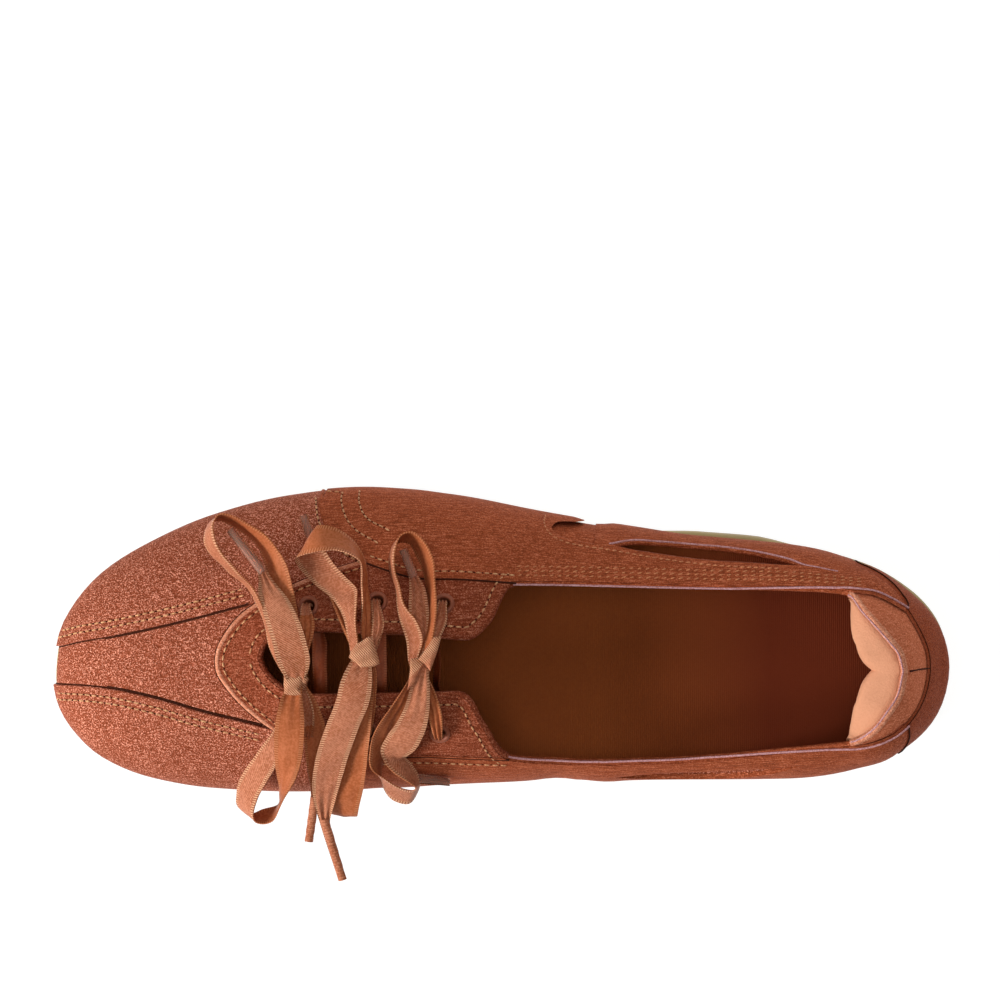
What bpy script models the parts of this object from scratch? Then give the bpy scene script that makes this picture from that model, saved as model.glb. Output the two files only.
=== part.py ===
"""Ballet sneaker for the right foot, European size 38, standing on its sole.

The shoe lies along X with its toe at -X and its heel at +X, its outer (lateral) side at +Y and
the floor at Z = 0. Sizes are in millimetres, and MM turns them into Blender's metres. The tables
measure Y from the line through the ends of toe and heel. That line lies AXIS_Y from the middle of
the shoe's width, where the finished part has its origin.
"""
import math

import bmesh
import bpy
import numpy as np
from mathutils import Quaternion, Vector

MM = 0.001

AXIS_Y = -6.5           # the line through toe and heel, from the middle of the width
SOLE_HALF = 130.3       # half the length of the sole, and of the whole shoe
UPPER_HALF = 128.8      # half the length of the upper
GAP = 0.3               # room between two pieces that touch
WALL = 1.7              # upper: satin, lining and the foam between them
TUCK_ANGLE = math.radians(62)
TUCK_ROWS = 2           # rows of faces under the widest line
WALL_ROWS = 5           # rows of faces above it
ROW_CROWDING = 1.25     # above 1, the rows crowd towards the widest line
SIDE_STEPS = 38         # rays from the toe to the heel on each side of the upper
SOLE_STEPS = 24         # rungs from the toe to the heel of the sole and the insole
INSOLE_THICK = 4.0
INSOLE_ROOM = 0.6

# The overlays: how thick each kind is, and the lowest row of the grid that it covers.
PANEL_THICK = {"vamp_wing": 0.7, "eyestay": 0.9, "quarter_overlay": 1.1, "heel_counter": 0.8, "heel_collar": 0.6}
PANEL_ROW = {"vamp_wing": 1, "eyestay": 3, "quarter_overlay": 1, "heel_counter": 1, "heel_collar": 4}
SEAM_ROOM = 0.2         # how far a panel stays inside its own outline
PUNCH_DEPTH = 6.0       # a punch reaches this far to both sides of the last's surface

GROOVE_WIDE = 2.2
GROOVE_DEEP = 1.6
GROOVE_PITCH = 8.0
BALL_GROOVES = (-80.0, 9)       # place of the first groove along X, and how many
HEEL_GROOVES = (73.0, 5)
GROOVE_SKEW = math.radians(7)

EYELET_HOLE = 1.8       # radii
EYELET_BARREL = 2.1
EYELET_FLANGE = 3.0
EYELET_HIGH = 0.7
EYELET_SIDES = 8

RIBBON_THICK = 0.8      # the satin ribbon, doubled where it is gathered
BAR_DEPTH = 2.9         # how far under the last's surface a bar's ends lie
GATHERED = 2.2          # the ribbon's width where it passes an eyelet
RISE_FROM, RISE_CLEAR = 1.0, 3.6    # a rise starts and widens this far above the last's surface
PAD_LOW = 4             # the heel lining covers the grid's rows from this one up
PAD_CENTRE = 85.0       # the heel lining swells towards this place on the X axis


def table(columns, *rows):
    """The named columns of a table, each as an array."""
    names = columns.split()
    return {name: np.array([row[i] for row in rows], float) for i, name in enumerate(names)}


# Seen from above: how far the shoe reaches to each side of the X axis.
OUTLINE = table(
    "x lateral medial",
    (-130.3, -5.0, -5.0),
    (-128.6, 8.4, -13.4),
    (-125.1, 15.7, -19.4),
    (-116.3, 25.9, -27.8),
    (-101.8, 35.0, -33.8),
    (-84.0, 42.7, -36.8),
    (-61.0, 48.5, -37.9),
    (-37.8, 50.9, -37.3),
    (-14.5, 48.7, -35.6),
    (14.5, 43.4, -34.5),
    (49.4, 38.5, -34.0),
    (84.3, 35.0, -33.3),
    (107.6, 28.6, -29.3),
    (119.3, 21.0, -23.2),
    (126.6, 12.9, -15.4),
    (130.3, -0.9, -0.9),
)

# How far the upper and the sole each stay inside that outline.
INSET = table(
    "x upper_lateral upper_medial sole_lateral sole_medial",
    (-130.3, 1.0, 1.0, 0.0, 0.0),
    (-120.0, 1.0, 1.0, 0.7, 0.7),
    (-100.0, 1.0, 1.0, 1.4, 1.4),
    (-55.0, 1.1, 1.1, 1.4, 1.4),
    (-40.0, 1.4, 1.4, 1.4, 1.4),
    (10.0, 1.4, 1.4, 1.4, 1.4),
    (40.0, 1.8, 1.4, 0.9, 1.4),
    (58.0, 2.4, 1.4, 0.0, 1.4),
    (80.0, 2.4, 1.4, 0.0, 1.4),
    (97.0, 1.8, 1.4, 0.6, 1.2),
    (112.0, 1.6, 1.4, 0.3, 0.8),
    (122.0, 2.0, 1.7, 0.0, 0.2),
    (130.3, 2.0, 1.8, 0.0, 0.0),
)

# Seen from the side: the sole, the widest line of the upper, and the ridge of the closed last
# that the upper is drawn over. ridge_y is where that ridge runs, and the two squareness columns
# are the exponents of the arch from the ridge down to each side.
SECTIONS = table(
    "x sole_bottom sole_top widest tuck ridge_z ridge_y square_lateral square_medial",
    (-130.3, 10.5, 18.0, 21.0, 0.6, 21.0, -5.0, 2.1, 2.1),
    (-128.4, 9.3, 17.4, 20.8, 1.0, 27.0, -4.0, 2.1, 2.1),
    (-124.5, 7.5, 16.6, 20.2, 1.5, 31.0, -2.6, 2.1, 2.1),
    (-117.0, 5.0, 15.2, 19.4, 2.1, 35.2, -1.2, 2.1, 2.1),
    (-103.0, 2.2, 13.4, 18.6, 2.6, 40.2, 0.0, 2.1, 2.15),
    (-86.0, 0.0, 12.2, 18.2, 2.8, 43.8, 0.8, 2.05, 2.2),
    (-69.0, 0.0, 12.0, 18.2, 2.8, 46.6, 1.2, 2.0, 2.2),
    (-50.0, 0.0, 12.0, 18.4, 2.8, 51.5, 1.4, 1.95, 2.2),
    (-25.0, 0.0, 12.3, 18.4, 2.6, 56.6, 1.5, 1.95, 2.2),
    (-8.0, 0.0, 12.9, 18.4, 2.4, 58.4, 1.4, 1.95, 2.25),
    (4.0, 0.9, 13.6, 18.6, 2.2, 57.0, 1.3, 1.95, 2.3),
    (20.0, 2.6, 14.8, 19.0, 1.8, 54.0, 1.0, 1.95, 2.3),
    (46.0, 3.0, 16.8, 20.2, 1.6, 52.6, 0.5, 2.0, 2.35),
    (60.0, 1.4, 17.8, 21.2, 1.6, 53.0, 0.3, 2.0, 2.35),
    (72.0, 0.0, 18.6, 22.4, 1.6, 54.2, 0.0, 2.0, 2.3),
    (94.0, 0.0, 19.6, 24.4, 1.8, 58.2, -0.3, 2.1, 2.2),
    (107.0, 0.0, 20.0, 25.6, 1.8, 61.0, -0.5, 2.2, 2.2),
    (115.0, 0.0, 20.2, 26.4, 1.8, 58.2, -0.7, 2.2, 2.2),
    (122.5, 2.2, 20.4, 27.0, 1.6, 46.6, -0.8, 2.2, 2.2),
    (127.6, 5.0, 20.6, 27.4, 1.4, 35.6, -0.9, 2.2, 2.2),
    (130.3, 8.5, 20.8, 27.5, 1.0, 27.5, -0.9, 2.2, 2.2),
)

# The edge of the opening: throat, flaps, collar and heel tab. Each row is a ray of the upper,
# which leaves its widest line at widest_x and ends on the edge.
LATERAL_EDGE = table(
    "step widest_x edge_x edge_y",
    (0, -128.8, -69.0, 3.1),
    (3, -115.0, -67.8, 6.8),
    (6, -88.0, -63.4, 10.4),
    (9, -58.0, -55.0, 11.9),
    (13, -27.0, -27.0, 11.4),
    (15, -11.5, -10.0, 10.1),
    (17, -4.5, -4.2, 13.8),
    (20, 6.0, 3.7, 24.8),
    (23, 30.0, 30.0, 24.1),
    (26, 54.0, 54.0, 23.4),
    (30, 88.5, 88.5, 22.8),
    (32, 105.0, 99.4, 21.7),
    (34, 115.5, 103.6, 16.9),
    (36, 124.0, 110.6, 8.8),
    (37, 127.4, 113.3, 5.2),
    (38, 128.8, 114.4, 0.3),
)
MEDIAL_EDGE = table(
    "step widest_x edge_x edge_y",
    (0, -128.8, -69.0, 3.1),
    (3, -115.0, -68.0, 0.4),
    (6, -88.0, -63.6, -4.6),
    (9, -58.0, -55.0, -8.0),
    (13, -30.0, -30.0, -7.2),
    (15, -15.0, -11.9, -6.5),
    (18, -5.0, -5.1, -15.4),
    (21, 6.0, 1.8, -25.0),
    (23, 22.0, 22.0, -27.1),
    (26, 47.0, 47.0, -26.6),
    (30, 84.0, 84.0, -22.8),
    (32, 101.5, 99.8, -20.8),
    (34, 113.0, 105.6, -17.4),
    (36, 122.5, 110.4, -11.0),
    (37, 126.8, 113.2, -6.2),
    (38, 128.8, 114.4, 0.3),
)

# The side of the sole, from its top edge down: how far down, as a share of its height, and how
# far inside the sole's outline.
SOLE_SIDE = table(
    "down inset",
    (0.00, 0.9),
    (0.08, 0.0),
    (0.36, 0.0),
    (0.40, 0.8),
    (0.50, 0.8),
    (0.54, 0.1),
    (0.84, 0.7),
    (1.00, 2.6),
)


# Seams and edges seen from above, each from the toe backwards.
TOE_SEAM_LATERAL = ((-131.0, 4.0), (-121.0, 7.1), (-112.3, 8.9), (-92.1, 13.6), (-72.2, 18.9))
TOE_SEAM_MEDIAL = ((-131.0, -6.8), (-121.0, -6.4), (-112.3, -6.9), (-98.8, -9.4), (-85.6, -13.0), (-68.0, -17.0))
EYESTAY_LATERAL = ((-80.6, 2.1), (-80.2, 5.0), (-78.2, 9.0), (-74.2, 14.1), (-69.4, 17.8), (-60.0, 22.6),
                   (-50.0, 26.6), (-37.9, 30.4))
EYESTAY_MEDIAL = ((-80.6, 2.1), (-80.2, -0.8), (-78.2, -4.2), (-74.2, -9.0), (-69.4, -13.3), (-62.0, -18.2),
                  (-50.0, -22.4), (-36.5, -25.4))
QUARTER_TOP_LATERAL = ((-37.9, 30.4), (-30.7, 28.1), (-26.1, 26.8), (-11.1, 26.0), (4.4, 24.9))
QUARTER_TOP_MEDIAL = ((-36.5, -25.4), (-24.2, -24.7), (-11.4, -25.0), (2.4, -25.6))
QUARTER_FRONT_LATERAL = ((-49.8, 60.0), (-50.2, 50.0), (-51.5, 47.2), (-50.2, 41.2), (-45.7, 35.2), (-37.9, 30.4))
QUARTER_FRONT_MEDIAL = ((-48.0, -50.0), (-48.4, -37.0), (-49.4, -34.0), (-47.6, -30.6), (-43.4, -27.6),
                        (-36.5, -25.4))
COUNTER_LATERAL = ((103.0, 45.0), (104.0, 31.0), (109.4, 27.4), (114.0, 23.4), (115.9, 20.0), (115.3, 16.6))
COUNTER_MEDIAL = ((103.0, -45.0), (104.0, -32.0), (109.4, -28.4), (114.4, -24.2), (116.0, -19.6), (115.3, -15.0))
COUNTER_TOP = ((115.3, 16.6), (119.2, 9.9), (121.4, 4.5), (121.8, 0.0), (121.1, -4.8), (118.9, -10.2),
               (115.3, -15.0))
STRAP_TOP_LATERAL = ((96.0, 22.5), (101.0, 22.1), (106.6, 21.2), (111.5, 18.9), (115.3, 16.6))
STRAP_TOP_MEDIAL = ((96.0, -21.5), (100.9, -21.4), (108.5, -19.5), (112.5, -17.4), (115.3, -15.0))

# The cut-outs of the quarters, round their rims, and the drop-shaped window of the lateral one: how
# far along the shoe and how high.
LENS_LATERAL = ((31.3, 34.6), (37.0, 32.0), (44.0, 29.2), (52.0, 27.6), (61.0, 27.6), (69.0, 29.4), (76.0, 32.8),
                (83.0, 38.0), (75.0, 37.8), (62.0, 37.2), (49.0, 36.6), (39.0, 35.9))
LENS_MEDIAL = ((33.0, 31.0), (41.0, 26.8), (52.0, 26.2), (62.0, 28.0), (70.0, 32.0), (78.0, 37.0), (86.0, 42.4),
               (78.0, 41.8), (66.0, 40.6), (55.0, 39.2), (43.0, 36.6))
WINDOW_LATERAL = ((14.4, 25.5), (16.4, 30.4), (20.4, 33.2), (25.0, 34.6), (30.1, 34.4), (27.0, 30.6), (22.0, 26.0),
                  (17.5, 23.0))

# Where the eyelets stand, seen from above.
EYELETS = table(
    "lateral_x lateral_y medial_x medial_y",
    (-54.1, 17.8, -53.6, -17.5),
    (-34.6, 19.2, -37.0, -16.8),
    (-15.8, 18.8, -17.0, -17.1),
)

# The ribbon's bars under the flaps, one from each eyelet to the one across: where each crosses
# the throat and the way from one edge of the ribbon to the other there.
BARS = table(
    "x across_x across_z",
    (-51.5, 4.2, 3.0),
    (-34.6, 4.8, 3.0),
    (-17.7, 1.8, 6.0),
)

# How far a bar has spread from what it is at its eyelets to what it is at the throat.
BAR_SPREAD = table(
    "share spread",
    (0.00, 0.0),
    (0.10, 0.3),
    (0.22, 0.85),
    (0.50, 1.0),
    (0.78, 0.85),
    (0.90, 0.3),
    (1.00, 0.0),
)

# The heel's padded lining: how far it swells into the shoe, up its height and round the heel.
PAD_RISE = table(
    "up swell",
    (0.00, 0.05),
    (0.25, 0.45),
    (0.55, 1.00),
    (0.80, 0.80),
    (1.00, 0.12),
)
PAD_ROUND = table(
    "step deep",
    (31, 0.8),
    (32, 3.0),
    (33, 8.0),
    (35, 13.5),
    (37, 15.2),
    (38, 14.0),
)

# The knots of the three bows: where they lie and how far they reach.
KNOTS = table(
    "x y z long wide high",
    (-58.0, -3.5, 54.8, 8.0, 7.0, 6.4),
    (-38.0, 5.2, 62.0, 7.6, 8.4, 6.4),
    (-22.6, 0.5, 63.6, 6.6, 8.0, 6.0),
)

# The ribbon of the bows, along its middle from the knot outward. A rise runs from an eyelet, whose
# place gives its first rows, up to the knot. The across columns are the way from one edge of the
# ribbon to the other.
STRIP_COLUMNS = "x y z across_x across_y across_z"
BOWS = (
    {"loop_lateral": table(
        STRIP_COLUMNS,
        (-60.2, -1.0, 53.5, 2.5, 0.5, 2.0),
        (-64.0, 6.0, 53.5, 2.0, 0.5, 6.5),
        (-67.5, 17.5, 53.0, 1.5, 1.0, 8.0),
        (-71.5, 24.0, 52.0, 2.0, 0.5, 8.8),
        (-76.5, 28.5, 50.5, 4.0, -0.5, 8.0),
        (-80.8, 33.0, 49.6, 4.5, -0.5, 8.0),
        (-82.8, 37.6, 49.0, 3.5, 0.5, 8.3),
        (-82.6, 41.2, 48.3, 2.0, 1.0, 8.8),
        (-80.6, 43.2, 48.0, 1.0, 2.0, 9.0),
        (-76.6, 42.6, 48.2, 1.0, 3.0, 8.7),
        (-71.6, 39.8, 49.4, 2.0, 3.0, 8.3),
        (-66.8, 35.6, 51.0, 3.5, 3.0, 7.5),
        (-64.0, 30.5, 52.6, 5.5, 2.5, 5.5),
        (-62.2, 24.0, 53.8, 6.5, 2.0, 3.5),
        (-60.4, 15.0, 55.0, 6.5, 1.5, 2.0),
        (-58.6, 6.5, 56.0, 5.0, 1.0, 1.5),
        (-57.0, -1.0, 55.8, 2.5, 1.0, 1.5),
    ), "tail_lateral": table(
        STRIP_COLUMNS,
        (-57.5, -3.0, 57.0, 4.5, 1.0, 0.0),
        (-58.2, 3.0, 59.4, 9.0, 1.0, 0.0),
        (-59.8, 9.5, 59.6, 9.5, 1.0, 1.0),
        (-62.0, 16.0, 58.2, 9.5, 0.0, 1.5),
        (-64.5, 22.0, 56.0, 8.0, -1.0, 1.5),
        (-66.2, 25.8, 54.6, 4.0, 0.0, 1.0),
        (-67.4, 28.4, 53.8, 2.4, 1.0, 0.0),
        (-76.6, 39.8, 49.6, 2.2, 1.0, 0.0),
    ), "loop_medial": table(
        STRIP_COLUMNS,
        (-58.4, -5.5, 56.6, 4.8, 0.0, 1.0),
        (-59.2, -11.5, 58.0, 7.5, -0.8, 0.5),
        (-59.7, -18.0, 56.6, 8.4, -1.0, 1.5),
        (-60.2, -24.5, 54.0, 7.8, -0.8, 2.5),
        (-60.8, -30.5, 50.4, 5.5, 0.0, 5.0),
        (-62.0, -35.8, 46.4, 2.2, 0.5, 8.5),
        (-63.2, -39.4, 42.6, 0.3, -0.8, 9.2),
        (-65.4, -42.6, 38.8, -0.4, -3.4, 8.6),
        (-68.6, -43.6, 37.4, 0.3, -3.0, 8.6),
        (-71.0, -43.8, 37.3, 1.5, -1.2, 8.8),
        (-73.0, -41.6, 37.9, 4.6, -1.0, 7.8),
        (-72.8, -37.2, 39.6, 6.2, -1.2, 6.4),
        (-70.0, -31.2, 42.8, 7.2, -1.8, 5.5),
        (-66.4, -25.4, 45.8, 5.5, -3.0, 3.6),
        (-62.8, -18.4, 49.2, 3.4, -2.0, 2.0),
        (-60.2, -11.0, 52.2, 2.6, -1.0, 1.2),
        (-58.2, -5.0, 53.6, 2.5, 0.0, 0.5),
    ), "tail_medial": table(
        STRIP_COLUMNS,
        (-56.4, -4.5, 53.8, 3.0, 1.0, 0.0),
        (-54.6, -9.0, 54.4, 5.0, 1.0, 0.0),
        (-53.0, -14.5, 53.0, 6.0, 1.0, 1.5),
        (-52.4, -21.0, 50.0, 6.5, 1.5, 2.0),
        (-52.4, -27.5, 46.8, 5.5, 1.0, 2.0),
        (-52.6, -33.0, 44.2, 3.5, 0.5, 1.0),
        (-53.0, -37.5, 43.0, 2.2, 0.0, 0.0),
        (-54.8, -50.0, 41.0, 2.2, 0.0, 0.0),
    ), "rise_lateral": table(
        STRIP_COLUMNS,
        (-54.6, 12.5, 56.6, 4.4, 1.0, 1.0),
        (-55.4, 6.0, 57.2, 2.8, 0.8, 2.0),
        (-56.6, -1.5, 56.0, 1.5, 1.0, 2.5),
    ), "rise_medial": table(
        STRIP_COLUMNS,
        (-54.4, -11.0, 56.0, 3.2, 0.5, 0.0),
        (-56.2, -5.5, 55.4, 2.5, 1.0, 0.0),
    )},
    {"loop_lateral": table(
        STRIP_COLUMNS,
        (-40.4, 4.0, 61.0, 2.0, 1.5, 4.0),
        (-41.6, 10.0, 60.8, 2.5, 1.0, 3.5),
        (-42.4, 15.5, 60.0, 3.5, 1.0, 4.0),
        (-43.2, 19.5, 58.2, 5.6, 1.8, 4.4),
        (-44.4, 22.4, 55.2, 8.0, 2.3, 4.0),
        (-48.0, 25.5, 53.4, 8.4, 2.8, 3.0),
        (-51.2, 28.8, 51.8, 8.0, 3.6, 2.0),
        (-53.8, 32.4, 50.8, 7.4, 5.4, 0.5),
        (-55.0, 35.4, 52.0, 6.3, 7.2, -1.0),
        (-54.4, 37.0, 54.2, 4.4, 8.0, -2.6),
        (-51.8, 37.7, 55.8, 2.8, 7.6, -4.2),
        (-48.6, 37.6, 56.2, 2.5, 6.4, -5.6),
        (-45.2, 36.9, 56.2, 2.0, 4.6, -6.8),
        (-42.0, 35.2, 56.2, 1.6, 3.0, -7.8),
        (-39.4, 32.2, 56.4, 0.8, 1.4, -8.2),
        (-38.5, 28.5, 56.8, 1.4, 0.2, -7.5),
        (-38.2, 23.5, 58.2, 2.2, -0.4, -5.5),
        (-37.8, 17.5, 58.8, 2.8, -0.2, -3.0),
        (-37.8, 12.0, 60.2, 3.2, -0.1, -1.5),
        (-38.0, 6.0, 61.2, 2.6, 0.0, -1.0),
    ), "tail_medial": table(
        STRIP_COLUMNS,
        (-38.8, 4.0, 63.8, 5.0, -1.0, 0.0),
        (-40.2, -1.5, 65.6, 8.5, -1.0, 0.0),
        (-41.6, -8.0, 63.8, 9.5, 0.0, 0.5),
        (-44.4, -15.0, 60.6, 9.5, 0.0, 1.0),
        (-47.2, -23.0, 56.4, 9.4, 0.5, 1.0),
        (-49.2, -31.0, 51.4, 8.5, 1.0, 1.0),
        (-50.2, -38.0, 46.0, 6.0, 0.0, 0.0),
        (-50.2, -44.0, 42.6, 3.0, 0.5, 0.0),
        (-45.2, -61.2, 40.0, 2.4, 0.6, 0.0),
    ), "loop_medial": table(
        STRIP_COLUMNS,
        (-38.2, 3.2, 62.2, 3.5, 1.0, 0.0),
        (-38.4, -5.5, 61.6, 5.5, 0.8, 0.0),
        (-39.6, -14.0, 59.0, 6.5, 0.5, 0.5),
        (-41.2, -24.0, 54.0, 7.5, 0.5, 2.0),
        (-42.8, -33.6, 48.6, 8.0, 0.5, 2.0),
        (-44.2, -39.4, 44.2, 8.0, 0.0, 2.0),
        (-44.9, -42.6, 40.0, 8.0, -0.6, 2.0),
        (-44.9, -42.4, 36.8, 8.0, -0.6, 2.0),
        (-44.3, -39.0, 35.6, 8.0, 0.0, 2.0),
        (-43.4, -33.6, 40.0, 7.5, 0.5, 2.0),
        (-42.4, -26.5, 46.8, 7.0, 0.5, 2.0),
        (-41.2, -18.5, 53.2, 6.0, 0.8, 1.0),
        (-40.0, -10.0, 57.2, 5.0, 1.0, 1.0),
        (-38.8, -3.0, 58.8, 4.0, 1.0, 0.0),
        (-38.2, 3.6, 60.6, 2.5, 1.0, 0.0),
    ), "tail_lateral": table(
        STRIP_COLUMNS,
        (-39.2, 5.0, 60.6, 2.6, 1.0, 0.0),
        (-42.4, 11.0, 56.8, 3.0, 0.5, 0.0),
        (-46.4, 20.0, 52.6, 3.0, 0.5, 0.0),
        (-50.4, 28.5, 49.0, 2.6, 0.8, 0.0),
        (-52.0, 32.0, 47.8, 2.4, 0.8, 0.0),
        (-56.0, 43.8, 46.4, 2.4, 0.8, 0.0),
    ), "rise_lateral": table(
        STRIP_COLUMNS,
        (-34.4, 13.5, 60.4, 3.4, 0.0, 1.0),
        (-36.4, 6.0, 62.2, 2.5, 0.0, 1.0),
    ), "rise_medial": table(
        STRIP_COLUMNS,
        (-36.6, -8.0, 60.4, 3.2, 0.5, 0.0),
        (-37.8, 3.0, 61.4, 2.5, 1.0, 0.0),
    )},
    {"loop_lateral": table(
        STRIP_COLUMNS,
        (-24.2, 3.0, 64.0, 2.5, 1.0, 2.0),
        (-23.8, 9.0, 63.4, 4.5, 1.0, 3.0),
        (-25.8, 14.7, 62.0, 4.5, 0.5, 5.0),
        (-28.0, 19.5, 60.4, 2.0, 0.5, 7.5),
        (-29.2, 24.5, 58.6, 1.2, 0.5, 8.5),
        (-30.6, 29.5, 56.6, 1.6, 0.3, 9.0),
        (-30.6, 34.2, 55.4, 1.4, 1.2, 9.0),
        (-28.4, 37.6, 55.0, 0.6, 2.6, 9.0),
        (-25.2, 37.9, 55.2, 0.8, 4.0, 8.6),
        (-22.6, 35.3, 56.2, 2.2, 4.6, 8.2),
        (-20.6, 31.0, 57.6, 3.0, 3.8, 8.2),
        (-19.6, 25.5, 59.2, 2.6, 2.4, 8.8),
        (-19.2, 19.5, 61.2, 2.2, 1.0, 8.5),
        (-19.6, 13.0, 63.0, 2.6, 0.3, 6.0),
        (-21.2, 5.5, 64.2, 2.0, 0.0, 3.0),
    ), "tail_lateral": table(
        STRIP_COLUMNS,
        (-22.0, 3.0, 62.0, 2.5, 1.0, 0.0),
        (-22.2, 9.0, 61.6, 4.5, 1.0, 0.5),
        (-22.6, 14.3, 60.8, 5.4, 1.5, 1.0),
        (-23.0, 19.0, 59.6, 5.4, 1.0, 1.0),
        (-23.4, 23.4, 58.2, 4.4, 1.0, 0.5),
        (-24.4, 27.0, 57.0, 2.6, 0.6, 0.0),
        (-27.4, 34.4, 55.0, 2.4, 0.6, 0.0),
    ), "loop_medial": table(
        STRIP_COLUMNS,
        (-21.8, 1.5, 65.4, 3.5, 1.0, 0.0),
        (-22.5, -4.0, 65.2, 5.5, 0.4, 0.5),
        (-23.5, -10.0, 63.0, 7.2, 0.0, 0.5),
        (-25.6, -16.0, 59.8, 8.8, -1.4, 0.0),
        (-28.2, -20.6, 56.2, 8.2, -3.6, -0.5),
        (-30.2, -23.4, 54.4, 7.4, -2.0, -2.0),
        (-29.8, -25.4, 52.2, 6.0, 1.0, -4.0),
        (-27.8, -27.8, 50.8, 4.8, 2.0, -6.5),
        (-25.4, -30.6, 49.2, 3.2, 1.4, -8.4),
        (-23.6, -34.0, 47.4, 0.8, -1.0, -9.2),
        (-25.2, -36.6, 46.0, -0.8, -4.4, -8.2),
        (-29.0, -35.8, 46.4, -1.6, -4.6, -8.0),
        (-32.8, -32.8, 47.8, -0.6, -3.6, -8.6),
        (-35.0, -28.8, 50.2, 2.4, -1.8, -8.8),
        (-34.6, -23.6, 52.8, 4.4, -2.6, -7.8),
        (-31.8, -15.8, 57.0, 4.8, -2.4, -5.5),
        (-28.0, -8.6, 60.4, 4.0, -0.6, -3.0),
        (-24.6, -1.5, 62.6, 2.6, 0.0, -1.0),
    ), "tail_medial": table(
        STRIP_COLUMNS,
        (-22.4, -2.0, 61.4, 2.6, 1.0, 0.0),
        (-24.0, -9.5, 58.6, 4.4, 0.8, 0.5),
        (-26.0, -17.0, 54.8, 4.6, 0.5, 1.0),
        (-28.2, -23.5, 50.8, 4.0, 0.5, 1.0),
        (-29.6, -28.0, 46.8, 3.0, 0.5, 0.5),
        (-28.8, -30.6, 43.8, 2.0, -1.2, 0.0),
        (-26.4, -31.4, 42.8, 0.8, -2.0, 0.0),
        (-14.6, -33.2, 39.0, 0.5, -2.2, 0.0),
    ), "rise_lateral": table(
        STRIP_COLUMNS,
        (-16.8, 15.2, 60.4, 3.6, -1.5, 0.5),
        (-18.2, 11.6, 63.0, 3.4, -1.5, 0.5),
        (-20.8, 4.5, 64.2, 2.6, -1.0, 0.8),
    ), "rise_medial": table(
        STRIP_COLUMNS,
        (-18.4, -12.0, 60.6, 4.0, 1.0, 0.5),
        (-21.6, -1.4, 63.0, 2.6, 1.0, 0.5),
    )},
)


def smooth(at, knots, values):
    """A table's values between its rows, on a curve that never overshoots them."""
    steps = np.diff(knots)
    slopes = np.diff(values) / steps
    before, after = slopes[:-1], slopes[1:]
    product = before * after
    total = np.where(product > 0.0, before + after, 1.0)
    tangents = np.empty(len(values))
    tangents[1:-1] = np.where(product > 0.0, 2.0 * product / total, 0.0)
    tangents[0], tangents[-1] = slopes[0], slopes[-1]
    at = np.clip(at, knots[0], knots[-1])
    cell = np.clip(np.searchsorted(knots, at) - 1, 0, len(steps) - 1)
    width = steps[cell]
    t = (at - knots[cell]) / width
    rest = 1.0 - t
    return (values[cell] * (1.0 + 2.0 * t) * rest ** 2
            + values[cell + 1] * (3.0 - 2.0 * t) * t ** 2
            + (tangents[cell] * rest - tangents[cell + 1] * t) * width * t * rest)


def turn(x, half=SOLE_HALF):
    """An angle from 0 at the toe to pi at the heel, in which round ends are straight lines."""
    return np.arccos(np.clip(-np.asarray(x, float) / half, -1.0, 1.0))


def at_turn(rows, column, angle):
    """A column of a table with an x column, read at an angle from turn."""
    return smooth(angle, turn(rows["x"]), rows[column])


def outline_y(piece, side, angle):
    """The outline of the upper or the sole on one side, at an angle from turn."""
    inward = -1.0 if side == "lateral" else 1.0
    inset = at_turn(INSET, piece + "_" + side, angle) * np.sin(angle) ** 0.5
    return at_turn(OUTLINE, side, angle) + inward * inset


def last_height(x, y):
    """The height of the closed last over a point inside the upper's widest line."""
    angle = turn(x, UPPER_HALF)
    ridge = at_turn(SECTIONS, "ridge_y", angle)
    lateral = y >= ridge
    edge = np.where(lateral, outline_y("upper", "lateral", angle), outline_y("upper", "medial", angle))
    square = np.where(lateral, at_turn(SECTIONS, "square_lateral", angle),
                      at_turn(SECTIONS, "square_medial", angle))
    across = np.clip(np.abs(y - ridge) / np.maximum(np.abs(edge - ridge), 0.001), 0.0, 1.0)
    arch = (1.0 - across ** square) ** (1.0 / square)
    low = at_turn(SECTIONS, "widest", angle)
    return low + (at_turn(SECTIONS, "ridge_z", angle) - low) * arch


def at_height(side, rows):
    """Plan points on one side of the last, from places along it and heights."""
    x, z = np.array(rows, float).T
    angle = turn(x, UPPER_HALF)
    ridge = at_turn(SECTIONS, "ridge_y", angle)
    low = at_turn(SECTIONS, "widest", angle)
    square = at_turn(SECTIONS, "square_" + side, angle)
    arch = (z - low) / (at_turn(SECTIONS, "ridge_z", angle) - low)
    across = (1.0 - arch ** square) ** (1.0 / square)
    return np.column_stack([x, ridge + across * (outline_y("upper", side, angle) - ridge)])


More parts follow.
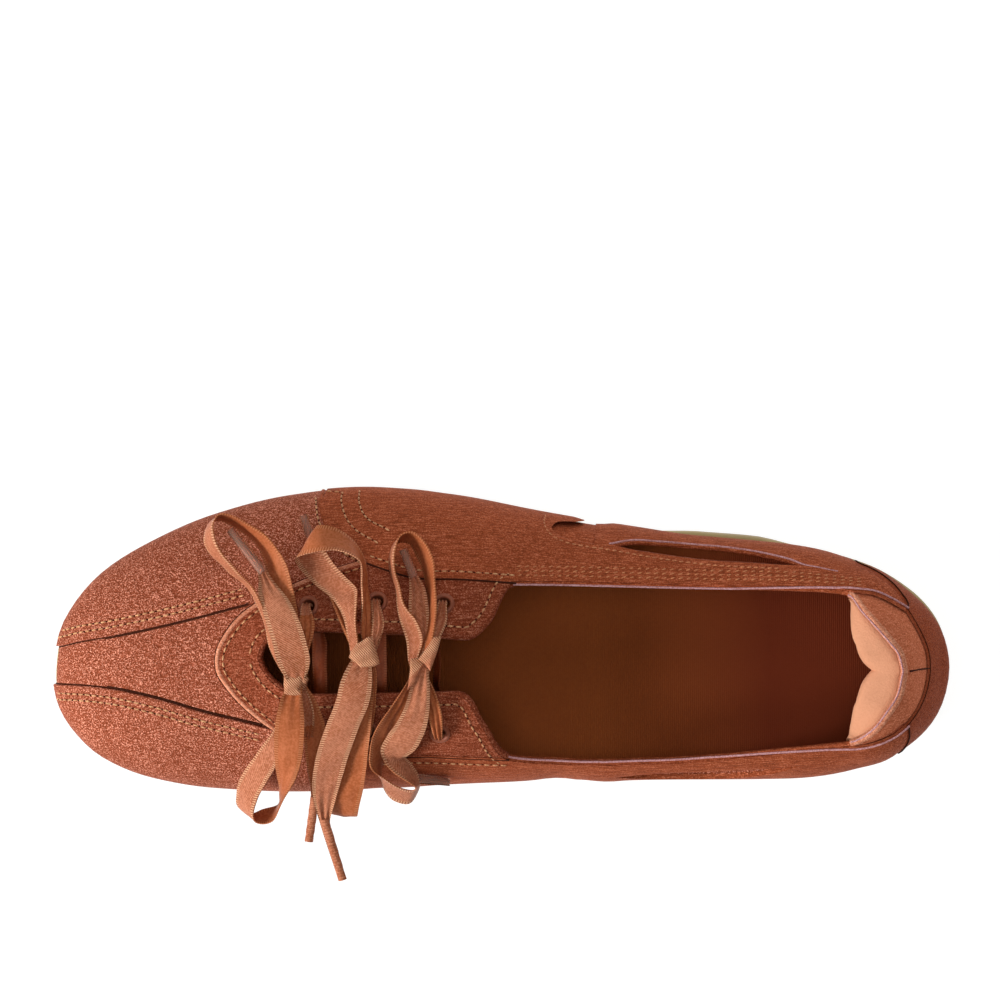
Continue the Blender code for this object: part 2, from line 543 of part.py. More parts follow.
def ray(side, step):
    """One column of the upper's outer surface, from the sole up to the edge of the opening."""
    rows = LATERAL_EDGE if side == "lateral" else MEDIAL_EDGE
    angle = smooth(step, rows["step"], turn(rows["widest_x"], UPPER_HALF))
    foot = np.array([-UPPER_HALF * math.cos(angle), float(outline_y("upper", side, angle))])
    edge = np.array([float(smooth(step, rows["step"], rows[name])) for name in ("edge_x", "edge_y")])
    way = (edge - foot) / np.linalg.norm(edge - foot)

    widest = float(at_turn(SECTIONS, "widest", angle))
    drop = widest - float(at_turn(SECTIONS, "sole_top", angle)) - GAP
    tuck = float(at_turn(SECTIONS, "tuck", angle))
    points = []
    for row in range(TUCK_ROWS):
        lean = TUCK_ANGLE * (1.0 - row / TUCK_ROWS)
        inward = tuck * (1.0 - math.cos(lean)) / (1.0 - math.cos(TUCK_ANGLE))
        fall = drop * math.sin(lean) / math.sin(TUCK_ANGLE)
        points.append((*(foot + way * inward), widest - fall))

    share = 1.0 - np.cos(np.linspace(0.0, math.pi / 2, 160))
    plan = foot + (edge - foot) * share[:, None]
    wall = np.column_stack([plan, last_height(plan[:, 0], plan[:, 1])])
    length = np.concatenate([[0.0], np.cumsum(np.linalg.norm(np.diff(wall, axis=0), axis=1))])
    stops = length[-1] * (np.arange(WALL_ROWS + 1) / WALL_ROWS) ** ROW_CROWDING
    points.extend(zip(*[np.interp(stops, length, wall[:, axis]) for axis in range(3)]))
    return np.array(points)


def upper_grid():
    """The outer surface as a grid of points: rays round the shoe, rows up the wall."""
    lateral = [ray("lateral", step) for step in range(SIDE_STEPS + 1)]
    medial = [ray("medial", step) for step in range(SIDE_STEPS - 1, 0, -1)]
    return np.array(lateral + medial)


def outward(grid):
    """Unit normals of a grid that closes on itself round the shoe."""
    round_way = np.roll(grid, -1, axis=0) - np.roll(grid, 1, axis=0)
    up_way = np.gradient(grid, axis=1)
    normals = np.cross(up_way, round_way)
    return normals / np.linalg.norm(normals, axis=2)[:, :, None]


def mesh_object(name, points, faces, group):
    """A new object of a mesh given in millimetres, with its faces pointing out."""
    mesh = bpy.data.meshes.new(name)
    mesh.from_pydata([Vector(point) * MM for point in points], [], faces)
    shape = bmesh.new()
    shape.from_mesh(mesh)
    bmesh.ops.recalc_face_normals(shape, faces=shape.faces)
    shape.to_mesh(mesh)
    shape.free()
    mesh.shade_smooth()
    mesh.set_sharp_from_angle(angle=math.radians(40))
    piece = bpy.data.objects.new(name, mesh)
    group.objects.link(piece)
    return piece


def paint(piece, colour, roughness, metallic=0.0):
    """Gives a piece its own material."""
    material = bpy.data.materials.new(piece.name + "_material")
    material.use_nodes = True
    shader = material.node_tree.nodes["Principled BSDF"]
    shader.inputs["Base Color"].default_value = (*colour, 1.0)
    shader.inputs["Roughness"].default_value = roughness
    shader.inputs["Metallic"].default_value = metallic
    piece.data.materials.append(material)


def skin(name, outer, inner, group, closed=True):
    """A solid between two grids: two skins and the rims that join them.

    Each cell is split along the diagonal that bulges outward, as the last does.
    """
    columns, rows = outer.shape[:2]
    flat = outer.reshape(-1, 3)
    points = np.concatenate([flat, inner.reshape(-1, 3)])
    under = columns * rows
    faces = []
    last = columns if closed else columns - 1
    for i in range(last):
        here, there = i * rows, (i + 1) % columns * rows
        for j in range(rows - 1):
            a, b, c, d = here + j, here + j + 1, there + j + 1, there + j
            bulge = (flat[a] + flat[c] - flat[b] - flat[d]) @ (points[a] - points[under + a])
            split = ((a, b, c), (a, c, d)) if bulge > 0.0 else ((a, b, d), (b, c, d))
            for corners in split:
                faces.append(corners)
                faces.append(tuple(under + corner for corner in reversed(corners)))
        for j in (0, rows - 1):
            faces.append((here + j, there + j, under + there + j, under + here + j))
    if not closed:
        for i in (0, columns - 1):
            for j in range(rows - 1):
                low = i * rows + j
                faces.append((low, low + 1, under + low + 1, under + low))
    return mesh_object(name, points, faces, group)


def ladder(name, rings, group):
    """A solid of rings stacked over one another, its ends closed by rungs from side to side."""
    count = len(rings[0])
    points = np.concatenate(rings)
    faces = []
    for level in range(len(rings) - 1):
        low, high = level * count, (level + 1) * count
        for i in range(count):
            k = (i + 1) % count
            faces.append((low + i, low + k, high + k, high + i))
    half = count // 2
    for base in (0, (len(rings) - 1) * count):
        faces.append((base, base + 1, base + count - 1))
        faces.append((base + half, base + half + 1, base + half - 1))
        for i in range(1, half - 1):
            faces.append((base + i, base + i + 1, base + count - i - 1, base + count - i))
    return mesh_object(name, points, faces, group)


def sole_ring(half, piece, inset, height):
    """A ring round the sole: toe, lateral side, heel, medial side."""
    angles = np.linspace(0.0, math.pi, SOLE_STEPS + 1)
    sides = []
    for side in ("lateral", "medial"):
        sides.append(np.column_stack([-half * np.cos(angles), outline_y(piece, side, angles)]))
    plan = np.concatenate([sides[0], sides[1][-2:0:-1]])
    way = np.roll(plan, -1, axis=0) - np.roll(plan, 1, axis=0)
    normal = np.column_stack([-way[:, 1], way[:, 0]]) / np.linalg.norm(way, axis=1)[:, None]
    inner = plan - normal * inset
    turns = turn(plan[:, 0])
    return np.column_stack([inner, height(turns)])


def make_outsole(group):
    """The rubber sole: flat at ball and heel, lifted at the toe, hollowed at the waist."""
    rings = []
    for down, inset in zip(SOLE_SIDE["down"], SOLE_SIDE["inset"]):
        def height(angle, down=down):
            top = at_turn(SECTIONS, "sole_top", angle)
            return top + (at_turn(SECTIONS, "sole_bottom", angle) - top) * down
        rings.append(sole_ring(SOLE_HALF, "sole", inset, height))
    outsole = ladder("outsole", rings, group)
    paint(outsole, (0.30, 0.20, 0.11), 0.6)
    return outsole


def make_insole(group):
    """The insole lies on the sole inside the upper."""
    inset = float(SECTIONS["tuck"].max()) + WALL + INSOLE_ROOM
    rings = []
    for extra, lift in ((0.0, GAP), (0.0, INSOLE_THICK), (0.8, INSOLE_THICK + GAP)):
        def height(angle, lift=lift):
            return at_turn(SECTIONS, "sole_top", angle) + lift
        rings.append(sole_ring(UPPER_HALF, "upper", inset + extra, height))
    insole = ladder("insole", rings, group)
    paint(insole, (0.09, 0.03, 0.015), 0.9)
    return insole


def make_upper(grid, normals, group):
    """The hollow upper, open at the throat and collar and underneath."""
    upper = skin("upper", grid, grid - normals * WALL, group)
    paint(upper, (0.36, 0.12, 0.06), 0.45)
    return upper


def surface(x, y):
    """A point of the last over a plan point, and the surface's unit normal there."""
    def height(px, py):
        return float(last_height(np.array([px]), np.array([py]))[0])
    nudge = 0.2
    slope_x = (height(x + nudge, y) - height(x - nudge, y)) / (2.0 * nudge)
    slope_y = (height(x, y + nudge) - height(x, y - nudge)) / (2.0 * nudge)
    normal = Vector((-slope_x, -slope_y, 1.0)).normalized()
    return Vector((x, y, height(x, y))), normal


def hidden(piece):
    """Marks a cutter, which is no piece of the shoe."""
    piece.hide_render = True
    piece.display_type = "WIRE"
    return piece


def shrink(outline, by):
    """A plan outline drawn in by a small distance on every side."""
    points = np.array(outline, float)
    before = points - np.roll(points, 1, axis=0)
    after = np.roll(points, -1, axis=0) - points
    area = float((points[:, 0] * np.roll(points[:, 1], -1) - np.roll(points[:, 0], -1) * points[:, 1]).sum())
    sign = 1.0 if area > 0.0 else -1.0
    normals = []
    for way in (before, after):
        length = np.linalg.norm(way, axis=1)[:, None]
        normals.append(np.column_stack([-way[:, 1], way[:, 0]]) / length * sign)
    middle = normals[0] + normals[1]
    middle /= np.maximum((middle * normals[0]).sum(axis=1), 0.5)[:, None]
    return points + middle * by


def prism(name, outline, low, high, cutters):
    """A cutter that stands on a plan outline."""
    count = len(outline)
    points = [(*point, low) for point in outline] + [(*point, high) for point in outline]
    faces = [tuple(range(count)), tuple(range(count, 2 * count))]
    for i in range(count):
        k = (i + 1) % count
        faces.append((i, k, count + k, count + i))
    return hidden(mesh_object(name, points, faces, cutters))


def punch(name, outline, cutters):
    """A cutter through the wall of the upper, square to its surface all round its rim."""
    feet = [surface(x, y) for x, y in outline]
    count = len(feet)
    points = [point - normal * PUNCH_DEPTH for point, normal in feet]
    points += [point + normal * PUNCH_DEPTH for point, normal in feet]
    faces = [tuple(range(count)), tuple(range(count, 2 * count))]
    for i in range(count):
        k = (i + 1) % count
        faces.append((i, k, count + k, count + i))
    return hidden(mesh_object(name, points, faces, cutters))


def cut(piece, cutter, operation="DIFFERENCE"):
    """A Boolean of a piece with a cutter."""
    modifier = piece.modifiers.new(cutter.name, "BOOLEAN")
    modifier.operation = operation
    modifier.object = cutter
    modifier.solver = "EXACT"


def panel(name, kind, grid, normals, columns, outline, group, cutters):
    """An overlay: a form just over the upper, cut to its plan outline."""
    chosen = [column % len(grid) for column in columns]
    row = PANEL_ROW[kind]
    base, away = grid[chosen, row:], normals[chosen, row:]
    outer = base + away * (GAP + PANEL_THICK[kind])
    piece = skin(name, outer, base + away * GAP, group, closed=False)
    cut(piece, prism(name + "_outline", shrink(outline, SEAM_ROOM), -10.0, 90.0, cutters), "INTERSECT")
    paint(piece, (0.36, 0.12, 0.06), 0.45)
    return piece


def make_panels(grid, normals, group, cutters):
    """The overlays of the upper, and the cut-outs of the quarters."""
    def panels(name, kind, columns, outline):
        return panel(name, kind, grid, normals, columns, outline, group, cutters)

    panels("vamp_wing_lateral", "vamp_wing", range(-2, 13),
           TOE_SEAM_LATERAL + EYESTAY_LATERAL[4:] + QUARTER_FRONT_LATERAL[-2::-1] + ((-131.0, 60.0),))
    panels("vamp_wing_medial", "vamp_wing", range(-13, 3),
           TOE_SEAM_MEDIAL + EYESTAY_MEDIAL[5:] + QUARTER_FRONT_MEDIAL[-2::-1] + ((-131.0, -50.0),))
    eyestay = panels("eyestay", "eyestay", range(-22, 22),
                     EYESTAY_LATERAL[::-1] + EYESTAY_MEDIAL[1:] + QUARTER_TOP_MEDIAL[1:] + ((9.0, -25.6),)
                     + ((9.0, 24.9),) + QUARTER_TOP_LATERAL[:0:-1])
    lateral = panels("quarter_overlay_lateral", "quarter_overlay", range(8, 37),
                     QUARTER_FRONT_LATERAL + QUARTER_TOP_LATERAL[1:] + ((30.0, 15.0), (90.0, 15.0))
                     + STRAP_TOP_LATERAL + COUNTER_LATERAL[-2::-1] + ((103.0, 60.0),))
    medial = panels("quarter_overlay_medial", "quarter_overlay", range(-37, -7),
                    QUARTER_FRONT_MEDIAL + QUARTER_TOP_MEDIAL[1:] + ((30.0, -15.0), (90.0, -15.0))
                    + STRAP_TOP_MEDIAL + COUNTER_MEDIAL[-2::-1])
    panels("heel_counter", "heel_counter", range(30, 47),
           COUNTER_LATERAL + COUNTER_TOP[1:] + COUNTER_MEDIAL[-2::-1] + ((140.0, -45.0), (140.0, 45.0)))
    panels("heel_collar", "heel_collar", range(30, 47),
           STRAP_TOP_LATERAL + COUNTER_TOP[1:] + STRAP_TOP_MEDIAL[-2::-1])
    for piece, side, rims in ((lateral, "lateral", (LENS_LATERAL, WINDOW_LATERAL)), (medial, "medial", (LENS_MEDIAL,))):
        for i, rim in enumerate(rims):
            cut(piece, punch(piece.name + "_cut_%d" % (i + 1), at_height(side, rim), cutters))
    return eyestay


def make_eyelets(upper, eyestay, group, cutters):
    """Six rings in the flaps, each with the hole that it stands in."""
    for side in ("lateral", "medial"):
        for i, (x, y) in enumerate(zip(EYELETS[side + "_x"], EYELETS[side + "_y"])):
            place, normal = surface(float(x), float(y))
            seat = place + normal * (2.0 * GAP + PANEL_THICK["eyestay"])
            turned = normal.to_track_quat("Z", "Y")
            eyelet = turned_ring("eyelet_%s_%d" % (side, i + 1), group)
            eyelet.location = seat * MM
            eyelet.rotation_euler = turned.to_euler()
            paint(eyelet, (0.33, 0.13, 0.07), 0.4)

            bpy.ops.mesh.primitive_cylinder_add(
                vertices=EYELET_SIDES, radius=(EYELET_BARREL + GAP) * MM, depth=2.0 * PUNCH_DEPTH * MM,
                location=place * MM, rotation=turned.to_euler())
            hole = hidden(bpy.context.object)
            hole.name = eyelet.name + "_hole"
            for other in hole.users_collection:
                other.objects.unlink(hole)
            cutters.objects.link(hole)
            cut(upper, hole)
            cut(eyestay, hole)


def turned_ring(name, group):
    """An eyelet: a profile of its flange and barrel, turned round the hole."""
    low = -(3.0 * GAP + PANEL_THICK["eyestay"] + WALL)
    profile = ((EYELET_FLANGE, 0.0), (EYELET_BARREL, 0.0), (EYELET_BARREL, low), (EYELET_HOLE, low),
               (EYELET_HOLE, EYELET_HIGH * 0.8), (EYELET_FLANGE - 0.4, EYELET_HIGH))
    mesh = bpy.data.meshes.new(name)
    points = [Vector((radius, 0.0, height)) * MM for radius, height in reversed(profile)]
    edges = [(i, (i + 1) % len(points)) for i in range(len(points))]
    mesh.from_pydata(points, edges, [])
    ring = bpy.data.objects.new(name, mesh)
    group.objects.link(ring)
    screw = ring.modifiers.new("turn", "SCREW")
    screw.axis = "Z"
    screw.steps = EYELET_SIDES
    screw.render_steps = EYELET_SIDES
    screw.use_merge_vertices = True
    screw.merge_threshold = 0.00001
    screw.use_normal_flip = True
    return ring


def strip(name, rows, group):
    """A flat ribbon along the middle line of a table with the STRIP_COLUMNS."""
    middle = np.column_stack([rows[axis] for axis in "xyz"])
    across = np.column_stack([rows["across_" + axis] for axis in "xyz"])
    off = np.cross(np.gradient(middle, axis=0), across)
    off *= RIBBON_THICK / 2.0 / np.linalg.norm(off, axis=1)[:, None]
    half = across / 2.0
    rings = np.stack([middle - half - off, middle + half - off, middle + half + off, middle - half + off], axis=1)
    points = rings.reshape(-1, 3)
    last = len(points) - 4
    faces = [(0, 1, 2, 3), (last, last + 1, last + 2, last + 3)]
    for a in range(0, last, 4):
        b = a + 4
        faces += [(a + 1, a + 2, b + 2, b + 1), (a + 3, a, b, b + 3)]
        # Where the ribbon twists, both of its sides are split along the same way.
        if np.linalg.norm(points[a] - points[b + 1]) < np.linalg.norm(points[a + 1] - points[b]):
            faces += [(a, a + 1, b + 1), (a, b + 1, b), (a + 3, a + 2, b + 2), (a + 3, b + 2, b + 3)]
        else:
            faces += [(a, a + 1, b), (a + 1, b + 1, b), (a + 3, a + 2, b + 3), (a + 2, b + 2, b + 3)]
    return mesh_object(name, points, faces, group)


def make_bars(group):
    """The ribbon across the throat, from under one eyelet to under the one across."""
    for i, (x, across_x, across_z) in enumerate(zip(BARS["x"], BARS["across_x"], BARS["across_z"])):
        ends = []
        for side in ("lateral", "medial"):
            place, normal = surface(float(EYELETS[side + "_x"][i]), float(EYELETS[side + "_y"][i]))
            ends.append(place - normal * BAR_DEPTH)
        rows = []
        for share, spread in zip(BAR_SPREAD["share"], BAR_SPREAD["spread"]):
            end = ends[0].lerp(ends[1], share)
            rows.append((end.x + (x - end.x) * spread, end.y, end.z,
                         GATHERED + (across_x - GATHERED) * spread, 0.0, across_z * spread))
        bar = strip("lace_bar_%d" % (i + 1), table(STRIP_COLUMNS, *rows), group)
        paint(bar, (0.60, 0.30, 0.18), 0.45)


def from_eyelet(rows, side, i):
    """The rows of a rise, with those in front where it comes up through its eyelet."""
    place, normal = surface(float(EYELETS[side + "_x"][i]), float(EYELETS[side + "_y"][i]))
    first = [(*(place + normal * high), GATHERED, 0.0, 0.0) for high in (RISE_FROM, RISE_CLEAR)]
    return table(STRIP_COLUMNS, *first, *zip(*[rows[name] for name in STRIP_COLUMNS.split()]))


def make_bows(group, cutters):
    """Each bow is one piece: its knot with the loops, tails and rises of its ribbon."""
    for i, strips in enumerate(BOWS):
        name = "bow_%d" % (i + 1)
        shape = bmesh.new()
        bmesh.ops.create_uvsphere(shape, u_segments=8, v_segments=6, radius=0.5 * MM)
        bmesh.ops.scale(shape, vec=[float(KNOTS[size][i]) for size in ("long", "wide", "high")], verts=shape.verts)
        bmesh.ops.translate(shape, vec=Vector([float(KNOTS[axis][i]) for axis in "xyz"]) * MM, verts=shape.verts)
        mesh = bpy.data.meshes.new(name)
        shape.to_mesh(mesh)
        shape.free()
        mesh.shade_smooth()
        knot = bpy.data.objects.new(name, mesh)
        group.objects.link(knot)
        paint(knot, (0.60, 0.30, 0.18), 0.45)
        for part, rows in strips.items():
            if part.startswith("rise_"):
                rows = from_eyelet(rows, part.removeprefix("rise_"), i)
            cut(knot, hidden(strip(name + "_" + part, rows, cutters)), "UNION")


def make_heel_lining(grid, normals, group):
    """The padded lining of the heel, which swells into the shoe and is pinched at its middle."""
    first = int(PAD_ROUND["step"][0])
    columns = list(range(first, len(grid) - first + 1))
    back = grid[columns, PAD_LOW:] - normals[columns, PAD_LOW:] * (WALL + GAP)
    from_heel = [SIDE_STEPS - abs(column - SIDE_STEPS) for column in columns]
    deep = smooth(np.array(from_heel, float), PAD_ROUND["step"], PAD_ROUND["deep"])
    up = np.linspace(0.0, 1.0, back.shape[1])
    swell = np.maximum(deep[:, None] * smooth(up, PAD_RISE["up"], PAD_RISE["swell"]), 0.8)
    inward = np.array([PAD_CENTRE, 0.0, 0.0]) - back
    inward[:, :, 2] = 0.0
    inward /= np.linalg.norm(inward, axis=2)[:, :, None]
    lining = skin("heel_lining", back, back + inward * swell[:, :, None], group, closed=False)
    paint(lining, (0.72, 0.33, 0.17), 0.8)


def cut_grooves(outsole, cutters):
    """The lugs of the sole are what its cross grooves leave standing at ball and heel."""
    shape = bmesh.new()
    for first, count in (BALL_GROOVES, HEEL_GROOVES):
        for i in range(count):
            box = bmesh.ops.create_cube(shape, size=1.0)["verts"]
            bmesh.ops.scale(shape, vec=(GROOVE_WIDE * MM, 0.14, 2.0 * GROOVE_DEEP * MM), verts=box)
            spin = Vector((0.0, 0.0, 1.0))
            bmesh.ops.rotate(shape, cent=(0.0, 0.0, 0.0), verts=box,
                             matrix=Quaternion(spin, GROOVE_SKEW).to_matrix())
            bmesh.ops.translate(shape, vec=((first + i * GROOVE_PITCH) * MM, 0.0, 0.0), verts=box)
    mesh = bpy.data.meshes.new("grooves")
    shape.to_mesh(mesh)
    shape.free()
    grooves = hidden(bpy.data.objects.new("grooves", mesh))
    cutters.objects.link(grooves)
    cut(outsole, grooves)


def new_group(name):
    group = bpy.data.collections.new(name)
    bpy.context.scene.collection.children.link(group)
    return group


def main():
    for thing in list(bpy.data.objects):
        bpy.data.objects.remove(thing, do_unlink=True)
    group = new_group("ballet_sneaker")
    cutters = new_group("cutters")
    grid = upper_grid()
    normals = outward(grid)
    outsole = make_outsole(group)
    cut_grooves(outsole, cutters)
    make_insole(group)
    upper = make_upper(grid, normals, group)
    eyestay = make_panels(grid, normals, group, cutters)
    cut(upper, punch("lens_lateral", at_height("lateral", LENS_LATERAL), cutters))
    cut(upper, punch("lens_medial", at_height("medial", LENS_MEDIAL), cutters))
    make_eyelets(upper, eyestay, group, cutters)
    make_heel_lining(grid, normals, group)
    make_bars(group)
    make_bows(group, cutters)

    origin = bpy.data.objects.new("toe_to_heel", None)
    origin.location = (0.0, AXIS_Y * MM, 0.0)
    for piece in [*group.objects, *cutters.objects]:
        piece.parent = origin
    group.objects.link(origin)


main()
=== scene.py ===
"""Ballet sneaker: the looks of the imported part, in its own frame.

Lengths are in millimetres in the tables and functions, measured as in the part's source: X from
toe to heel, Y from the line through the ends of toe and heel, Z up from the floor. place() turns
them into Blender's metres in the part's frame.
"""
import math
import random

import bmesh
import bpy
import numpy as np
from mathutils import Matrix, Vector


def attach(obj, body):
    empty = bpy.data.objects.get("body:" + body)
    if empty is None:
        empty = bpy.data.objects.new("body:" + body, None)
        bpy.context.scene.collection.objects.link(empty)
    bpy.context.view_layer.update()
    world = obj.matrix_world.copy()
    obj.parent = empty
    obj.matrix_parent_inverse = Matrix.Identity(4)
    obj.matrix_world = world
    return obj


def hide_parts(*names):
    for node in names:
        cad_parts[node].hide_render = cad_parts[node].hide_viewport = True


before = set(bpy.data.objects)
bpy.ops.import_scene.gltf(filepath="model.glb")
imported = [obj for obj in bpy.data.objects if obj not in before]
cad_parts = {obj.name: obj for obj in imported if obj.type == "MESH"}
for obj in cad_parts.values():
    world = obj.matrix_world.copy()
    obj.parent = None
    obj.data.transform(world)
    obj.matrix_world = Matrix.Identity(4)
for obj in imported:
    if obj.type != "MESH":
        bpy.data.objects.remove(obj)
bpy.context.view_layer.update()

MM = 0.001
SIDES = (("lateral", 1.0), ("medial", -1.0))    # the sign of Y on each side of the shoe

# The last
AXIS_Y = -6.5           # the line through toe and heel, from the middle of the shoe's width
SOLE_HALF = 130.3       # half the length of the sole, and of the upper
UPPER_HALF = 128.8
TUCK_ANGLE = math.radians(62)
SIDE_STEPS = 38         # steps of the edge tables from the toe to the heel
FINE = 3                # fine rays for each step of the edge tables
TUCK_ROWS = 3
WALL_ROWS = 30
SOLE_FINE_STEPS = 96

# The upper
GAP = 0.3               # between pieces that lie on one another
WALL = 1.7
EDGE_THINNER = 0.7      # how much thinner the wall is at the edge of the opening
WING_FACE = GAP + 0.7   # how high the face of each overlay stands over the base
BAND_FACE = GAP + 0.9
QUARTER_FACE = GAP + 1.1
COUNTER_FACE = GAP + 0.8
TAB_FACE = GAP + 0.6
SUNK = 0.3              # an overlay reaches this far into the wall that carries it
SIDES_FROM = -45.0      # the wall behind this is of the satin of the sides
FLAP_STEPS = (20, 21)   # the steps of the edge tables where each flap ends
STRAP_STEP = 31         # where the straps begin
HEEL_STEP = 32          # and where the heel's tab and its lining do
OUTSIDE = 60.0          # distances to the side, down and up that are clear of the shoe
BELOW = -10.0
ABOVE = 90.0
LENS_LOW = 24.0         # how low the cutters of the outer cut-out and of the window reach
WINDOW_LOW = 8.0
FADE_FROM = 26.0        # the overlay's end at the window: it is thinnest here
FADE_TO = 34.0          # and whole again here
FADE_LEAD = 2.5         # over how much it gets thin before that
FADE_LOW = 34.8         # how far out from the middle of the shoe it begins to
FADE_RISE = 3.0
FADE_LEAST = 0.2        # the share that is left of it
PAD_FOOT = 0.30         # the share of the wall's rows that lies below the heel's lining
PAD_CENTRE = 85.0       # the lining swells towards this place along the shoe
PAD_LEAST = 0.5
PINCH = (0.13, 0.55)    # how deep, and over how many steps it fades
WRINKLES = (0.2, 17.0)  # how deep, and how close
WRINKLED = (-2.2, 1.6)  # where they lie, in steps from the middle, and how far they spread

# Insole and sole
INSOLE_ROOM = 0.6       # between the insole and the lining
TOE_DRAWN_IN = 9.0      # over how much of its tip the sole is drawn in
GROOVE_WIDE = 2.2
GROOVE_DEEP = 1.6
GROOVE_PITCH = 8.0
BALL_GROOVES = (-80.0, 9)
HEEL_GROOVES = (73.0, 5)
GROOVE_SKEW = math.radians(7)

# Eyelets
EYELET_HOLE = 1.8
EYELET_BARREL = 2.1
EYELET_FLANGE = 3.0
EYELET_HIGH = 0.7
EYELET_DEEP = 3.3

# Ribbons
RIBBON_WIDE = 9.5
RIBBON_THICK = 0.34
BAR_DEPTH = 2.9
GATHERED = 2.2          # how wide the ribbon is where it is gathered in an eyelet
RISES = (1.0, 3.6)      # heights at which it comes up out of one
PLEATS = 2.5            # folds across the ribbon where it is gathered
ACROSS = np.linspace(-0.5, 0.5, 13)

# Stitches
STITCH = (0.80, 0.28, 0.28)                     # half its length, width and height
DIP = (0.30, 0.28, 0.18)
COARSE = 20             # a line of fewer points is made finer before it is sewn


def table(columns, *rows):
    """The named columns of a table, each as an array."""
    return {name: np.array([row[i] for row in rows], float) for i, name in enumerate(columns.split())}


# Seen from above: how far the shoe reaches to each side of the X axis.
OUTLINE = table(
    "x lateral medial",
    (-130.3, -5.0, -5.0),
    (-128.6, 8.4, -13.4),
    (-125.1, 15.7, -19.4),
    (-116.3, 25.9, -27.8),
    (-101.8, 35.0, -33.8),
    (-84.0, 42.7, -36.8),
    (-61.0, 48.5, -37.9),
    (-37.8, 50.9, -37.3),
    (-14.5, 48.7, -35.6),
    (14.5, 43.4, -34.5),
    (49.4, 38.5, -34.0),
    (84.3, 35.0, -33.3),
    (107.6, 28.6, -29.3),
    (119.3, 21.0, -23.2),
    (126.6, 12.9, -15.4),
    (130.3, -0.9, -0.9),
)

# How far the upper and the sole each stay inside that outline.
INSET = table(
    "x upper_lateral upper_medial sole_lateral sole_medial",
    (-130.3, 1.0, 1.0, 0.0, 0.0),
    (-120.0, 1.0, 1.0, 0.7, 0.7),
    (-100.0, 1.0, 1.0, 1.4, 1.4),
    (-55.0, 1.1, 1.1, 1.4, 1.4),
    (-40.0, 1.4, 1.4, 1.4, 1.4),
    (10.0, 1.4, 1.4, 1.4, 1.4),
    (27.0, 1.6, 1.4, 2.1, 1.4),
    (40.0, 1.8, 1.4, 1.8, 1.4),
    (58.0, 2.4, 1.4, 0.2, 1.4),
    (74.0, 2.4, 1.4, 0.1, 1.4),
    (88.0, 2.1, 1.4, 1.6, 1.4),
    (97.0, 1.8, 1.4, 1.4, 1.2),
    (112.0, 1.6, 1.4, 0.9, 0.8),
    (122.0, 2.0, 1.7, 0.0, 0.2),
    (130.3, 2.0, 1.8, 0.0, 0.0),
)

# Seen from the side: the sole, the widest line of the upper, and the ridge of the closed last.
SECTIONS = table(
    "x sole_bottom sole_top widest tuck ridge_z ridge_y square_lateral square_medial",
    (-130.3, 10.5, 18.0, 21.0, 0.6, 21.0, -5.0, 2.1, 2.1),
    (-128.4, 9.3, 17.4, 20.8, 1.0, 27.0, -4.0, 2.1, 2.1),
    (-124.5, 7.5, 16.6, 20.2, 1.5, 31.0, -2.6, 2.1, 2.1),
    (-117.0, 5.0, 15.2, 19.4, 2.1, 35.2, -1.2, 2.1, 2.1),
    (-103.0, 2.2, 13.4, 18.6, 2.6, 40.2, 0.0, 2.1, 2.15),
    (-86.0, 0.0, 12.2, 18.2, 2.8, 43.8, 0.8, 2.05, 2.2),
    (-69.0, 0.0, 12.0, 18.2, 2.8, 46.6, 1.2, 2.0, 2.2),
    (-50.0, 0.0, 12.0, 18.4, 2.8, 51.5, 1.4, 1.95, 2.2),
    (-25.0, 0.0, 12.3, 18.4, 2.6, 56.6, 1.5, 1.95, 2.2),
    (-8.0, 0.0, 12.9, 18.4, 2.4, 58.4, 1.4, 1.95, 2.25),
    (4.0, 0.9, 13.6, 18.6, 2.2, 57.0, 1.3, 1.95, 2.3),
    (20.0, 2.6, 14.8, 19.0, 1.8, 54.0, 1.0, 1.95, 2.3),
    (46.0, 3.0, 16.8, 20.2, 1.6, 52.6, 0.5, 2.0, 2.35),
    (60.0, 1.4, 17.8, 21.2, 1.6, 53.0, 0.3, 2.0, 2.35),
    (72.0, 0.0, 18.6, 22.4, 1.6, 54.2, 0.0, 2.0, 2.3),
    (94.0, 0.0, 19.6, 24.4, 1.8, 58.2, -0.3, 2.1, 2.2),
    (107.0, 0.0, 20.0, 25.6, 1.8, 61.0, -0.5, 2.2, 2.2),
    (115.0, 0.0, 20.2, 26.4, 1.8, 58.2, -0.7, 2.2, 2.2),
    (122.5, 2.2, 20.4, 27.0, 1.6, 46.6, -0.8, 2.2, 2.2),
    (127.6, 5.0, 20.6, 27.4, 1.4, 35.6, -0.9, 2.2, 2.2),
    (130.3, 8.5, 20.8, 27.5, 1.0, 27.5, -0.9, 2.2, 2.2),
)

